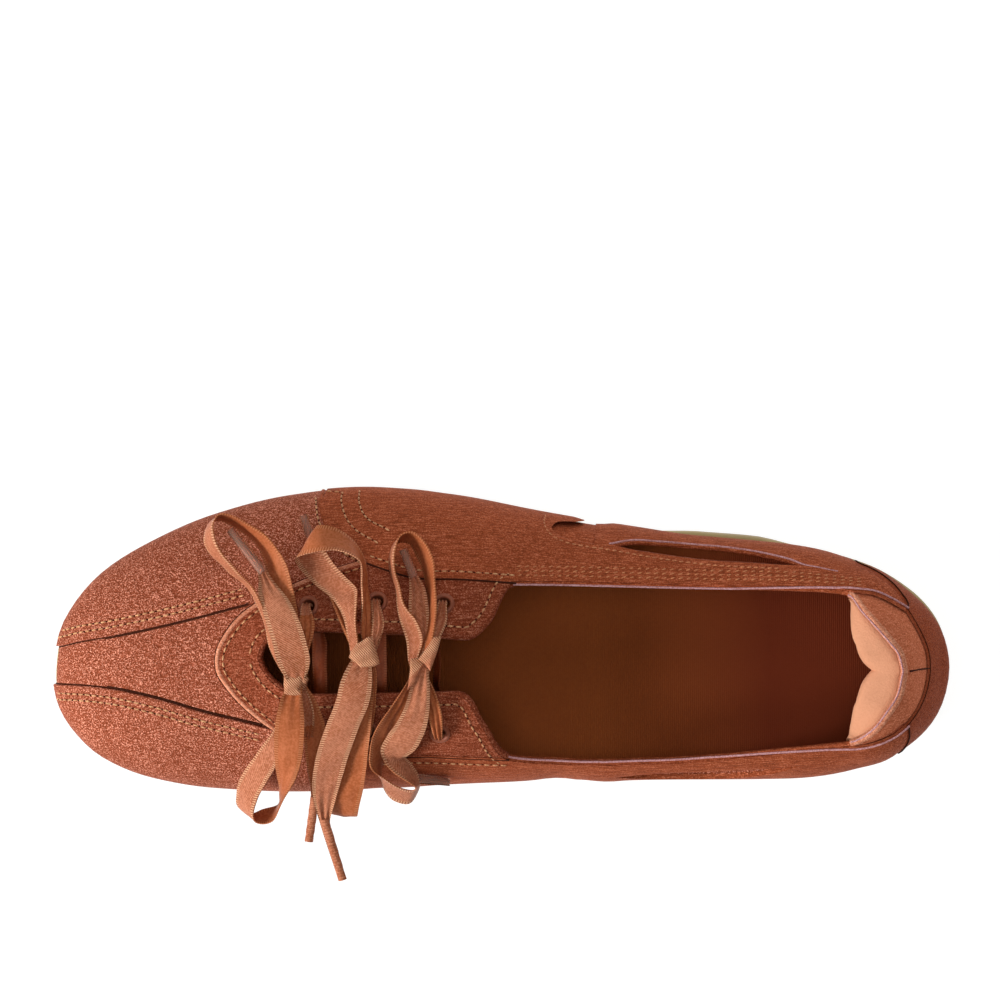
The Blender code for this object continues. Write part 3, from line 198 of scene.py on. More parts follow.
# The edge of the opening: throat, flaps, collar and heel tab, a row for a ray of the upper.
EDGE = {
    "lateral": table(
        "step widest_x edge_x edge_y",
        (0, -128.8, -69.0, 3.1),
        (3, -115.0, -67.8, 6.8),
        (6, -88.0, -63.4, 10.4),
        (9, -58.0, -55.0, 11.9),
        (13, -27.0, -27.0, 11.4),
        (15, -11.5, -10.0, 10.1),
        (17, -4.5, -4.2, 13.8),
        (20, 6.0, 3.7, 24.8),
        (23, 30.0, 30.0, 24.1),
        (26, 54.0, 54.0, 23.4),
        (30, 88.5, 88.5, 22.8),
        (32, 105.0, 99.4, 21.7),
        (34, 115.5, 103.6, 16.9),
        (36, 124.0, 110.6, 8.8),
        (37, 127.4, 113.3, 5.2),
        (38, 128.8, 114.4, 0.3),
    ),
    "medial": table(
        "step widest_x edge_x edge_y",
        (0, -128.8, -69.0, 3.1),
        (3, -115.0, -68.0, 0.4),
        (6, -88.0, -63.6, -4.6),
        (9, -58.0, -55.0, -8.0),
        (13, -30.0, -30.0, -7.2),
        (15, -15.0, -11.9, -6.5),
        (18, -5.0, -5.1, -15.4),
        (21, 6.0, 1.8, -25.0),
        (23, 22.0, 22.0, -27.1),
        (26, 47.0, 47.0, -26.6),
        (30, 84.0, 84.0, -22.8),
        (32, 101.5, 99.8, -20.8),
        (34, 113.0, 105.6, -17.4),
        (36, 122.5, 110.4, -11.0),
        (37, 126.8, 113.2, -6.2),
        (38, 128.8, 114.4, 0.3),
    ),
}

# The side of the sole: how far down, as a share of its height, and how far inside its outline.
SOLE_SIDE = table(
    "down inset",
    (0.00, 1.2),
    (0.03, 0.5),
    (0.08, 0.05),
    (0.20, 0.0),
    (0.34, 0.0),
    (0.37, 0.2),
    (0.40, 0.8),
    (0.50, 0.8),
    (0.53, 0.25),
    (0.56, 0.1),
    (0.70, 0.2),
    (0.84, 0.7),
    (0.95, 1.7),
    (1.00, 2.6),
)

# The edge of the insole: how far further in than the upper's lining, and how high over the sole.
INSOLE_EDGE = table(
    "inset lift",
    (0.0, 0.3),
    (0.0, 2.8),
    (-3.0, 4.9),
    (-3.0, 5.4),
    (-2.2, 5.5),
    (0.5, 4.9),
    (3.0, 4.5),
    (7.0, 4.3),
)

# Seams and edges seen from above, each from the toe backwards.
TOE_SEAM = {
    "lateral": ((-131.0, 4.0), (-121.0, 7.1), (-112.3, 8.9), (-92.1, 13.6), (-72.2, 18.9)),
    "medial": ((-131.0, -6.8), (-121.0, -6.4), (-112.3, -6.9), (-98.8, -9.4), (-85.6, -13.0),
               (-68.0, -17.0)),
}
EYESTAY = {
    "lateral": ((-80.6, 2.1), (-80.2, 5.0), (-78.2, 9.0), (-74.2, 14.1), (-69.4, 17.8), (-60.0, 22.6),
                (-50.0, 26.6), (-37.9, 30.4)),
    "medial": ((-80.6, 2.1), (-80.2, -0.8), (-78.2, -4.2), (-74.2, -9.0), (-69.4, -13.3), (-62.0, -18.2),
               (-50.0, -22.4), (-36.5, -25.4)),
}
QUARTER_TOP = {
    "lateral": ((-37.9, 30.4), (-30.7, 28.1), (-26.1, 26.8), (-11.1, 26.0), (4.4, 24.9)),
    "medial": ((-36.5, -25.4), (-24.2, -24.7), (-11.4, -25.0), (2.4, -25.6)),
}
QUARTER_FRONT = {
    "lateral": ((-49.8, 60.0), (-50.2, 50.0), (-51.5, 47.2), (-50.2, 41.2), (-45.7, 35.2), (-37.9, 30.4)),
    "medial": ((-48.0, -50.0), (-48.4, -37.0), (-49.4, -34.0), (-47.6, -30.6), (-43.4, -27.6),
               (-36.5, -25.4)),
}
COUNTER = {
    "lateral": ((101.0, 45.0), (101.6, 36.0), (102.4, 29.0), (106.0, 27.1), (109.5, 25.0), (112.5, 22.4),
                (114.6, 19.6), (115.6, 17.9), (115.3, 16.6)),
    "medial": ((103.0, -45.0), (104.0, -32.0), (109.4, -28.4), (114.4, -24.2), (116.0, -19.6),
               (115.3, -15.0)),
}
COUNTER_TOP = ((115.3, 16.6), (119.2, 9.9), (121.4, 4.5), (121.8, 0.0), (121.1, -4.8), (118.9, -10.2),
               (115.3, -15.0))
STRAP_TOP = {
    "lateral": ((96.0, 22.5), (101.0, 22.1), (106.6, 21.2), (111.5, 18.9), (115.3, 16.6)),
    "medial": ((96.0, -21.5), (100.9, -21.4), (108.5, -19.5), (112.5, -17.4), (115.3, -15.0)),
}

# The cut-outs and the stitches beside them: how far along the shoe and how high.
LENS = {
    "lateral": ((31.2, 36.0), (37.2, 33.3), (46.0, 31.9), (55.3, 31.4), (66.1, 32.4), (76.7, 35.4),
                (83.0, 38.2), (87.5, 40.8), (82.5, 41.0), (71.5, 39.8), (58.7, 38.7), (51.5, 38.1),
                (44.3, 37.7), (37.0, 37.2)),
    "medial": ((33.0, 33.5), (41.0, 30.6), (52.0, 29.6), (62.0, 30.4), (70.0, 33.2), (78.0, 37.8),
               (86.0, 43.6), (77.4, 41.4), (68.9, 39.8), (58.9, 38.3), (54.6, 37.6), (43.0, 36.0)),
}
LENS_THREAD = LENS["lateral"][:8] + ((90.5, 41.2), (96.5, 42.2))
WINDOW_STITCHES = ((13.0, 25.0), (12.4, 30.5), (13.7, 35.0), (18.0, 37.4), (24.0, 38.1), (31.0, 38.2),
                   (38.0, 38.7), (51.5, 39.5), (58.7, 40.1), (71.5, 41.2), (80.0, 42.1))

# The window as seen from above: rounded towards the toe, open towards the sole behind its low edge.
# At its end the overlay runs out to nothing.
WINDOW_EDGE = ((27.5, 47.0), (27.0, 43.6), (25.4, 41.4), (22.2, 41.0), (18.8, 41.2), (16.2, 41.0),
               (14.8, 39.8), (15.7, 38.2), (19.5, 36.6), (23.5, 35.7), (27.0, 35.1))
WINDOW_END = ((27.0, 35.1), (27.6, 38.4), (28.2, 42.0), (28.4, 47.0))

# Where the eyelets sit.
EYELETS = table(
    "lateral_x lateral_y medial_x medial_y",
    (-54.1, 17.8, -53.6, -17.5),
    (-34.6, 19.2, -37.0, -16.8),
    (-15.8, 18.8, -17.0, -17.1),
)

# The bars: where each crosses the throat and the way across it there.
BARS = table(
    "x across_x across_z",
    (-51.5, 4.2, 3.0),
    (-34.6, 4.8, 3.0),
    (-17.7, 1.8, 6.0),
)

# How far a bar has spread from its end to its middle.
BAR_SPREAD = table(
    "share spread",
    (0.00, 0.0),
    (0.10, 0.3),
    (0.22, 0.85),
    (0.50, 1.0),
    (0.78, 0.85),
    (0.90, 0.3),
    (1.00, 0.0),
)

# The heel lining: its swell on the way up, and how deep it is from the side to the back.
PAD_RISE = table(
    "up swell",
    (0.00, 0.05),
    (0.25, 0.45),
    (0.55, 1.00),
    (0.80, 0.80),
    (1.00, 0.12),
)
PAD_ROUND = table(
    "step deep",
    (31, 0.8),
    (32, 3.0),
    (33, 8.0),
    (35, 13.5),
    (37, 15.2),
    (38, 14.0),
)

# The core of each knot.
KNOTS = table(
    "x y z long wide high",
    (-58.0, -3.5, 54.8, 8.0, 7.0, 6.4),
    (-38.0, 5.2, 62.0, 7.6, 8.4, 6.4),
    (-22.6, 0.5, 63.6, 6.6, 8.0, 6.0),
)

# The ribbon of the bows, as in the part's source: its middle, and the way across it from edge to
# edge. The last two rows of a tail are its tip.
BOWS = ({}, {}, {})


def strip(bow, part, *rows):
    """One strip of a bow's ribbon."""
    BOWS[bow - 1][part] = rows


strip(
    1, "loop_lateral",
    (-60.2, -1.0, 53.5, 2.5, 0.5, 2.0),
    (-64.0, 6.0, 53.5, 2.0, 0.5, 6.5),
    (-67.5, 17.5, 53.0, 1.5, 1.0, 8.0),
    (-71.5, 24.0, 52.0, 2.0, 0.5, 8.8),
    (-76.5, 28.5, 50.5, 4.0, -0.5, 8.0),
    (-80.8, 33.0, 49.6, 4.5, -0.5, 8.0),
    (-82.8, 37.6, 49.0, 3.5, 0.5, 8.3),
    (-82.6, 41.2, 48.3, 2.0, 1.0, 8.8),
    (-80.6, 43.2, 48.0, 1.0, 2.0, 9.0),
    (-76.6, 42.6, 48.2, 1.0, 3.0, 8.7),
    (-71.6, 39.8, 49.4, 2.0, 3.0, 8.3),
    (-66.8, 35.6, 51.0, 3.5, 3.0, 7.5),
    (-64.0, 30.5, 52.6, 5.5, 2.5, 5.5),
    (-62.2, 24.0, 53.8, 6.5, 2.0, 3.5),
    (-60.4, 15.0, 55.0, 6.5, 1.5, 2.0),
    (-58.6, 6.5, 56.0, 5.0, 1.0, 1.5),
    (-57.0, -1.0, 55.8, 2.5, 1.0, 1.5),
)
strip(
    1, "tail_lateral",
    (-57.5, -3.0, 57.0, 4.5, 1.0, 0.0),
    (-58.2, 3.0, 59.4, 9.0, 1.0, 0.0),
    (-59.8, 9.5, 59.6, 9.5, 1.0, 1.0),
    (-62.0, 16.0, 58.2, 9.5, 0.0, 1.5),
    (-64.5, 22.0, 56.0, 8.0, -1.0, 1.5),
    (-66.2, 25.8, 54.6, 4.0, 0.0, 1.0),
    (-67.4, 28.4, 53.8, 2.4, 1.0, 0.0),
    (-76.6, 39.8, 49.6, 2.2, 1.0, 0.0),
)
strip(
    1, "loop_medial",
    (-58.4, -5.5, 56.6, 4.8, 0.0, 1.0),
    (-59.2, -11.5, 58.0, 7.5, -0.8, 0.5),
    (-59.7, -18.0, 56.6, 8.4, -1.0, 1.5),
    (-60.2, -24.5, 54.0, 7.8, -0.8, 2.5),
    (-60.8, -30.5, 50.4, 5.5, 0.0, 5.0),
    (-62.0, -35.8, 46.4, 2.2, 0.5, 8.5),
    (-63.2, -39.4, 42.6, 0.3, -0.8, 9.2),
    (-65.4, -42.6, 38.8, -0.4, -3.4, 8.6),
    (-68.6, -43.6, 37.4, 0.3, -3.0, 8.6),
    (-71.0, -43.8, 37.3, 1.5, -1.2, 8.8),
    (-73.0, -41.6, 37.9, 4.6, -1.0, 7.8),
    (-72.8, -37.2, 39.6, 6.2, -1.2, 6.4),
    (-70.0, -31.2, 42.8, 7.2, -1.8, 5.5),
    (-66.4, -25.4, 45.8, 5.5, -3.0, 3.6),
    (-62.8, -18.4, 49.2, 3.4, -2.0, 2.0),
    (-60.2, -11.0, 52.2, 2.6, -1.0, 1.2),
    (-58.2, -5.0, 53.6, 2.5, 0.0, 0.5),
)
strip(
    1, "tail_medial",
    (-56.4, -4.5, 53.8, 3.0, 1.0, 0.0),
    (-54.6, -9.0, 54.4, 5.0, 1.0, 0.0),
    (-53.0, -14.5, 53.0, 6.0, 1.0, 1.5),
    (-52.4, -21.0, 50.0, 6.5, 1.5, 2.0),
    (-52.4, -27.5, 46.8, 5.5, 1.0, 2.0),
    (-52.6, -33.0, 44.2, 3.5, 0.5, 1.0),
    (-53.0, -37.5, 43.0, 2.2, 0.0, 0.0),
    (-54.8, -50.0, 41.0, 2.2, 0.0, 0.0),
)
strip(
    1, "rise_lateral",
    (-54.6, 12.5, 56.6, 4.4, 1.0, 1.0),
    (-55.4, 6.0, 57.2, 2.8, 0.8, 2.0),
    (-56.6, -1.5, 56.0, 1.5, 1.0, 2.5),
)
strip(
    1, "rise_medial",
    (-54.4, -11.0, 56.0, 3.2, 0.5, 0.0),
    (-56.2, -5.5, 55.4, 2.5, 1.0, 0.0),
)
strip(
    2, "loop_lateral",
    (-40.4, 4.0, 61.0, 2.0, 1.5, 4.0),
    (-41.6, 10.0, 60.8, 2.5, 1.0, 3.5),
    (-42.4, 15.5, 60.0, 3.5, 1.0, 4.0),
    (-43.2, 19.5, 58.2, 5.6, 1.8, 4.4),
    (-44.4, 22.4, 55.2, 8.0, 2.3, 4.0),
    (-48.0, 25.5, 53.4, 8.4, 2.8, 3.0),
    (-51.2, 28.8, 51.8, 8.0, 3.6, 2.0),
    (-53.8, 32.4, 50.8, 7.4, 5.4, 0.5),
    (-55.0, 35.4, 52.0, 6.3, 7.2, -1.0),
    (-54.4, 37.0, 54.2, 4.4, 8.0, -2.6),
    (-51.8, 37.7, 55.8, 2.8, 7.6, -4.2),
    (-48.6, 37.6, 56.2, 2.5, 6.4, -5.6),
    (-45.2, 36.9, 56.2, 2.0, 4.6, -6.8),
    (-42.0, 35.2, 56.2, 1.6, 3.0, -7.8),
    (-39.4, 32.2, 56.4, 0.8, 1.4, -8.2),
    (-38.5, 28.5, 56.8, 1.4, 0.2, -7.5),
    (-38.2, 23.5, 58.2, 2.2, -0.4, -5.5),
    (-37.8, 17.5, 58.8, 2.8, -0.2, -3.0),
    (-37.8, 12.0, 60.2, 3.2, -0.1, -1.5),
    (-38.0, 6.0, 61.2, 2.6, 0.0, -1.0),
)
strip(
    2, "tail_medial",
    (-38.8, 4.0, 63.8, 5.0, -1.0, 0.0),
    (-40.2, -1.5, 65.6, 8.5, -1.0, 0.0),
    (-41.6, -8.0, 63.8, 9.5, 0.0, 0.5),
    (-44.4, -15.0, 60.6, 9.5, 0.0, 1.0),
    (-47.2, -23.0, 56.4, 9.4, 0.5, 1.0),
    (-49.2, -31.0, 51.4, 8.5, 1.0, 1.0),
    (-50.2, -38.0, 46.0, 6.0, 0.0, 0.0),
    (-50.2, -44.0, 42.6, 3.0, 0.5, 0.0),
    (-45.2, -61.2, 40.0, 2.4, 0.6, 0.0),
)
strip(
    2, "loop_medial",
    (-38.2, 3.2, 62.2, 3.5, 1.0, 0.0),
    (-38.4, -5.5, 61.6, 5.5, 0.8, 0.0),
    (-39.6, -14.0, 59.0, 6.5, 0.5, 0.5),
    (-41.2, -24.0, 54.0, 7.5, 0.5, 2.0),
    (-42.8, -33.6, 48.6, 8.0, 0.5, 2.0),
    (-44.2, -39.4, 44.2, 8.0, 0.0, 2.0),
    (-44.9, -42.6, 40.0, 8.0, -0.6, 2.0),
    (-44.9, -42.4, 36.8, 8.0, -0.6, 2.0),
    (-44.3, -39.0, 35.6, 8.0, 0.0, 2.0),
    (-43.4, -33.6, 40.0, 7.5, 0.5, 2.0),
    (-42.4, -26.5, 46.8, 7.0, 0.5, 2.0),
    (-41.2, -18.5, 53.2, 6.0, 0.8, 1.0),
    (-40.0, -10.0, 57.2, 5.0, 1.0, 1.0),
    (-38.8, -3.0, 58.8, 4.0, 1.0, 0.0),
    (-38.2, 3.6, 60.6, 2.5, 1.0, 0.0),
)
strip(
    2, "tail_lateral",
    (-39.2, 5.0, 60.6, 2.6, 1.0, 0.0),
    (-42.4, 11.0, 56.8, 3.0, 0.5, 0.0),
    (-46.4, 20.0, 52.6, 3.0, 0.5, 0.0),
    (-50.4, 28.5, 49.0, 2.6, 0.8, 0.0),
    (-52.0, 32.0, 47.8, 2.4, 0.8, 0.0),
    (-56.0, 43.8, 46.4, 2.4, 0.8, 0.0),
)
strip(
    2, "rise_lateral",
    (-34.4, 13.5, 60.4, 3.4, 0.0, 1.0),
    (-36.4, 6.0, 62.2, 2.5, 0.0, 1.0),
)
strip(
    2, "rise_medial",
    (-36.6, -8.0, 60.4, 3.2, 0.5, 0.0),
    (-37.8, 3.0, 61.4, 2.5, 1.0, 0.0),
)
strip(
    3, "loop_lateral",
    (-24.2, 3.0, 64.0, 2.5, 1.0, 2.0),
    (-23.8, 9.0, 63.4, 4.5, 1.0, 3.0),
    (-25.8, 14.7, 62.0, 4.5, 0.5, 5.0),
    (-28.0, 19.5, 60.4, 2.0, 0.5, 7.5),
    (-29.2, 24.5, 58.6, 1.2, 0.5, 8.5),
    (-30.6, 29.5, 56.6, 1.6, 0.3, 9.0),
    (-30.6, 34.2, 55.4, 1.4, 1.2, 9.0),
    (-28.4, 37.6, 55.0, 0.6, 2.6, 9.0),
    (-25.2, 37.9, 55.2, 0.8, 4.0, 8.6),
    (-22.6, 35.3, 56.2, 2.2, 4.6, 8.2),
    (-20.6, 31.0, 57.6, 3.0, 3.8, 8.2),
    (-19.6, 25.5, 59.2, 2.6, 2.4, 8.8),
    (-19.2, 19.5, 61.2, 2.2, 1.0, 8.5),
    (-19.6, 13.0, 63.0, 2.6, 0.3, 6.0),
    (-21.2, 5.5, 64.2, 2.0, 0.0, 3.0),
)
strip(
    3, "tail_lateral",
    (-22.0, 3.0, 62.0, 2.5, 1.0, 0.0),
    (-22.2, 9.0, 61.6, 4.5, 1.0, 0.5),
    (-22.6, 14.3, 60.8, 5.4, 1.5, 1.0),
    (-23.0, 19.0, 59.6, 5.4, 1.0, 1.0),
    (-23.4, 23.4, 58.2, 4.4, 1.0, 0.5),
    (-24.4, 27.0, 57.0, 2.6, 0.6, 0.0),
    (-27.4, 34.4, 55.0, 2.4, 0.6, 0.0),
)
strip(
    3, "loop_medial",
    (-21.8, 1.5, 65.4, 3.5, 1.0, 0.0),
    (-22.5, -4.0, 65.2, 5.5, 0.4, 0.5),
    (-23.5, -10.0, 63.0, 7.2, 0.0, 0.5),
    (-25.6, -16.0, 59.8, 8.8, -1.4, 0.0),
    (-28.2, -20.6, 56.2, 8.2, -3.6, -0.5),
    (-30.2, -23.4, 54.4, 7.4, -2.0, -2.0),
    (-29.8, -25.4, 52.2, 6.0, 1.0, -4.0),
    (-27.8, -27.8, 50.8, 4.8, 2.0, -6.5),
    (-25.4, -30.6, 49.2, 3.2, 1.4, -8.4),
    (-23.6, -34.0, 47.4, 0.8, -1.0, -9.2),
    (-25.2, -36.6, 46.0, -0.8, -4.4, -8.2),
    (-29.0, -35.8, 46.4, -1.6, -4.6, -8.0),
    (-32.8, -32.8, 47.8, -0.6, -3.6, -8.6),
    (-35.0, -28.8, 50.2, 2.4, -1.8, -8.8),
    (-34.6, -23.6, 52.8, 4.4, -2.6, -7.8),
    (-31.8, -15.8, 57.0, 4.8, -2.4, -5.5),
    (-28.0, -8.6, 60.4, 4.0, -0.6, -3.0),
    (-24.6, -1.5, 62.6, 2.6, 0.0, -1.0),
)
strip(
    3, "tail_medial",
    (-22.4, -2.0, 61.4, 2.6, 1.0, 0.0),
    (-24.0, -9.5, 58.6, 4.4, 0.8, 0.5),
    (-26.0, -17.0, 54.8, 4.6, 0.5, 1.0),
    (-28.2, -23.5, 50.8, 4.0, 0.5, 1.0),
    (-29.6, -28.0, 46.8, 3.0, 0.5, 0.5),
    (-28.8, -30.6, 43.8, 2.0, -1.2, 0.0),
    (-26.4, -31.4, 42.8, 0.8, -2.0, 0.0),
    (-14.6, -33.2, 39.0, 0.5, -2.2, 0.0),
)
strip(
    3, "rise_lateral",
    (-16.8, 15.2, 60.4, 3.6, -1.5, 0.5),
    (-18.2, 11.6, 63.0, 3.4, -1.5, 0.5),
    (-20.8, 4.5, 64.2, 2.6, -1.0, 0.8),
)
strip(
    3, "rise_medial",
    (-18.4, -12.0, 60.6, 4.0, 1.0, 0.5),
    (-21.6, -1.4, 63.0, 2.6, 1.0, 0.5),
)

# The flat folds of each knot: an outline in plan, its height and half its thickness.
KNOT_FOLDS = (
    (
        (((-61.1, -0.6), (-58.3, -0.1), (-55.4, -0.5), (-55.7, -3.4), (-56.8, -5.1), (-56.0, -6.6),
          (-59.1, -6.6), (-61.0, -6.2)), 57.2, 1.2),
        (((-56.2, -1.2), (-54.9, -1.1), (-54.1, -2.2), (-54.8, -3.4), (-56.2, -3.2)), 57.0, 1.0),
    ),
    (
        (((-42.4, 4.8), (-41.8, 6.3), (-40.5, 8.1), (-37.0, 10.4), (-35.8, 9.9), (-33.9, 3.0),
          (-35.7, 2.2), (-39.2, 1.9)), 65.0, 1.2),
    ),
    (
        (((-25.1, 4.3), (-23.2, 4.5), (-21.3, 2.7), (-22.7, 0.5), (-24.1, -2.7), (-26.0, -4.4),
          (-25.4, 0.3)), 66.0, 1.1),
        (((-22.9, 4.4), (-20.8, 7.2), (-18.5, 10.5), (-16.6, 10.3), (-17.8, 6.0), (-19.6, 1.1),
          (-20.8, 2.7)), 66.6, 1.1),
    ),
)

# The tips that are rolled to a point. The others are in clear sleeves.
ROLLED = ("tip_1_medial", "tip_2_medial")

# The parts of each bow whose smooth side lies where the others have the matte one.
TURNED = (
    ("rise_lateral", "rise_medial", "loop_lateral", "loop_medial", "tail_lateral", "tail_medial"),
    ("loop_lateral", "loop_medial"),
    ("loop_lateral", "tail_lateral"),
)

# Soft creases of the upper: the ends of each in plan, how deep and how wide. A negative depth is a
# ridge.
CREASES = table(
    "x y to_x to_y deep wide",
    (-48.0, 40.0, -30.0, 47.0, 0.7, 4.0),
    (-40.0, 36.0, -22.0, 45.0, -0.4, 4.0),
    (-46.0, -31.0, -30.0, -36.0, 0.6, 3.5),
    (10.0, -30.0, 22.0, -34.0, 0.8, 5.0),
    (26.0, -30.0, 36.0, -34.0, -0.5, 5.0),
    (2.0, 27.0, 20.0, 36.0, 0.5, 5.0),
    (88.0, 27.0, 104.0, 28.0, 0.6, 3.0),
    (92.0, -24.0, 106.0, -27.0, 0.6, 3.0),
    (-95.0, 20.0, -75.0, 33.0, 0.4, 7.0),
    (-92.0, -18.0, -72.0, -28.0, 0.4, 7.0),
    (-88.0, 2.0, -82.0, 9.0, 0.3, 4.0),
)


# Lines and surfaces

def unit(vectors):
    """Vectors at length 1."""
    return vectors / np.linalg.norm(vectors, axis=-1, keepdims=True)


def run(points):
    """How far along a line each of its points lies."""
    return np.concatenate([[0.0], np.cumsum(np.linalg.norm(np.diff(points, axis=0), axis=1))])


def places_at(distances, points):
    """The places at some distances along a line."""
    length = run(points)
    return np.column_stack([np.interp(distances, length, axis) for axis in np.transpose(points)])


def evenly(points, pitch):
    """Points at even distances along a line, half a pitch in from its ends."""
    whole = run(points)[-1]
    count = max(int(whole / pitch), 1)
    return places_at((np.arange(count) + 0.5) * whole / count, points)


def ahead_of(points):
    """The way along a line at each of its points."""
    return unit(np.gradient(np.asarray(points, float), axis=0))


def beside(normals, ahead):
    """The way to the side of a line that runs over a surface."""
    return unit(np.cross(normals, ahead))


def cubic(at, knots, values, slopes):
    """Values between knots, on a curve with given slopes at the knots."""
    cell = np.clip(np.searchsorted(knots, at) - 1, 0, len(knots) - 2)
    width = np.diff(knots)[cell]
    t = (at - knots[cell]) / width
    if values.ndim > 1:
        width, t = width[:, None], t[:, None]
    rest = 1.0 - t
    return (values[cell] * (1.0 + 2.0 * t) * rest ** 2
            + values[cell + 1] * (3.0 - 2.0 * t) * t ** 2
            + (slopes[cell] * rest - slopes[cell + 1] * t) * width * t * rest)


def smooth(at, knots, values):
    """A table's values between its rows, on a curve that never overshoots them."""
    slopes = np.diff(values) / np.diff(knots)
    before, after = slopes[:-1], slopes[1:]
    product = before * after
    total = np.where(product > 0.0, before + after, 1.0)
    inner = np.where(product > 0.0, 2.0 * product / total, 0.0)
    slopes = np.concatenate([slopes[:1], inner, slopes[-1:]])
    return cubic(np.clip(at, knots[0], knots[-1]), knots, values, slopes)


def curve(rows, spacing=1.2):
    """A smooth curve through rows of numbers, whose first three are a place, in even steps."""
    rows = np.asarray(rows, float)
    knots = run(rows[:, :3])
    if len(rows) > 2:
        slopes = np.gradient(rows, knots, axis=0)
    else:
        slopes = np.repeat(np.diff(rows, axis=0) / knots[-1], 2, 0)
    at = np.linspace(0.0, knots[-1], max(int(knots[-1] / spacing), 2) + 1)
    return cubic(at, knots, rows, slopes)


def ease(share):
    """A share that starts and ends softly."""
    share = np.clip(share, 0.0, 1.0)
    return share * share * (3.0 - 2.0 * share)


# Geometry of the last

def turn(x, half=SOLE_HALF):
    """An angle from 0 at the toe to pi at the heel, in which round ends are straight lines."""
    return np.arccos(np.clip(-np.asarray(x, float) / half, -1.0, 1.0))


def at_turn(rows, column, angle):
    """A column of a table with an x column, read at an angle from turn."""
    return smooth(angle, turn(rows["x"]), rows[column])


def outline_y(piece, side, angle):
    """The outline of the upper or the sole on one side, at an angle from turn."""
    inset = at_turn(INSET, piece + "_" + side, angle) * np.sin(angle) ** 0.5
    return at_turn(OUTLINE, side, angle) - dict(SIDES)[side] * inset


def last_height(x, y):
    """The height of the closed last over a point inside the upper's widest line."""
    angle = turn(x, UPPER_HALF)
    ridge = at_turn(SECTIONS, "ridge_y", angle)
    lateral = y >= ridge
    edge = np.where(lateral, outline_y("upper", "lateral", angle), outline_y("upper", "medial", angle))
    square = np.where(lateral, at_turn(SECTIONS, "square_lateral", angle),
                      at_turn(SECTIONS, "square_medial", angle))
    across = np.clip(np.abs(y - ridge) / np.maximum(np.abs(edge - ridge), 0.001), 0.0, 1.0)
    arch = (1.0 - across ** square) ** (1.0 / square)
    low = at_turn(SECTIONS, "widest", angle)
    return low + (at_turn(SECTIONS, "ridge_z", angle) - low) * arch


def at_height(side, rows):
    """Plan points on one side of the last, from places along it and heights."""
    x, z = np.array(rows, float).T
    angle = turn(x, UPPER_HALF)
    ridge = at_turn(SECTIONS, "ridge_y", angle)
    low = at_turn(SECTIONS, "widest", angle)
    square = at_turn(SECTIONS, "square_" + side, angle)
    arch = (z - low) / (at_turn(SECTIONS, "ridge_z", angle) - low)
    across = (1.0 - arch ** square) ** (1.0 / square)
    return np.column_stack([x, ridge + across * (outline_y("upper", side, angle) - ridge)])


def edge_at(side, step):
    """The edge of the opening in plan, at steps of its table."""
    rows = EDGE[side]
    return np.stack([smooth(step, rows["step"], rows[name]) for name in ("edge_x", "edge_y")], axis=-1)


def ray(side, step):
    """One column of the upper's outer surface, from the sole up to the edge of the opening."""
    rows = EDGE[side]
    angle = smooth(step, rows["step"], turn(rows["widest_x"], UPPER_HALF))
    foot = np.array([-UPPER_HALF * math.cos(angle), float(outline_y("upper", side, angle))])
    edge = edge_at(side, step)
    way = unit(edge - foot)

    widest, sole_top, tuck = [float(at_turn(SECTIONS, name, angle))
                              for name in ("widest", "sole_top", "tuck")]
    drop = widest - sole_top - GAP / 2
    low = []
    for row in range(TUCK_ROWS):
        lean = TUCK_ANGLE * (1.0 - row / TUCK_ROWS)
        inward = tuck * (1.0 - math.cos(lean)) / (1.0 - math.cos(TUCK_ANGLE))
        low.append((*(foot + way * inward), widest - drop * math.sin(lean) / math.sin(TUCK_ANGLE)))

    share = 1.0 - np.cos(np.linspace(0.0, math.pi / 2, 200))
    plan = foot + (edge - foot) * share[:, None]
    wall = np.column_stack([plan, last_height(plan[:, 0], plan[:, 1])])
    stops = run(wall)[-1] * np.linspace(0.0, 1.0, WALL_ROWS + 1)
    return np.concatenate([low, places_at(stops, wall)])


def crease(points):
    """How far the creases move points of the last along its normals."""
    shift = np.zeros(points.shape[:-1])
    for x, y, to_x, to_y, deep, wide in zip(*CREASES.values()):
        start, way = np.array([x, y]), np.array([to_x - x, to_y - y])
        share = np.clip(((points[..., :2] - start) @ way) / (way @ way), 0.0, 1.0)
        off = points[..., :2] - (start + share[..., None] * way)
        shift -= deep * np.exp(-(off ** 2).sum(axis=-1) / wide ** 2) * np.sin(math.pi * (0.1 + 0.8 * share))
    return shift


def fine_grid():
    """The outer surface as a grid that closes round the shoe, with its creases, and its normals."""
    lateral = [ray("lateral", step / FINE) for step in range(SIDE_STEPS * FINE + 1)]
    medial = [ray("medial", step / FINE) for step in range(SIDE_STEPS * FINE - 1, 0, -1)]
    grid = np.array(lateral + medial)
    round_way = np.roll(grid, -1, axis=0) - np.roll(grid, 1, axis=0)
    normals = unit(np.cross(np.gradient(grid, axis=1), round_way))
    return grid + normals * crease(grid)[:, :, None], normals


GRID, NORMALS = fine_grid()


def on_last(plan, lift=0.0):
    """Points a little above the last's surface over plan points, and the surface's normals."""
    plan = np.asarray(plan, float)
    nudge = 0.15
    x, y = plan[..., 0], plan[..., 1]
    slope_x = (last_height(x + nudge, y) - last_height(x - nudge, y)) / (2.0 * nudge)
    slope_y = (last_height(x, y + nudge) - last_height(x, y - nudge)) / (2.0 * nudge)
    normals = unit(np.stack([-slope_x, -slope_y, np.ones_like(x)], axis=-1))
    points = np.stack([x, y, last_height(x, y)], axis=-1)
    return points + normals * (crease(points) + lift)[..., None], normals


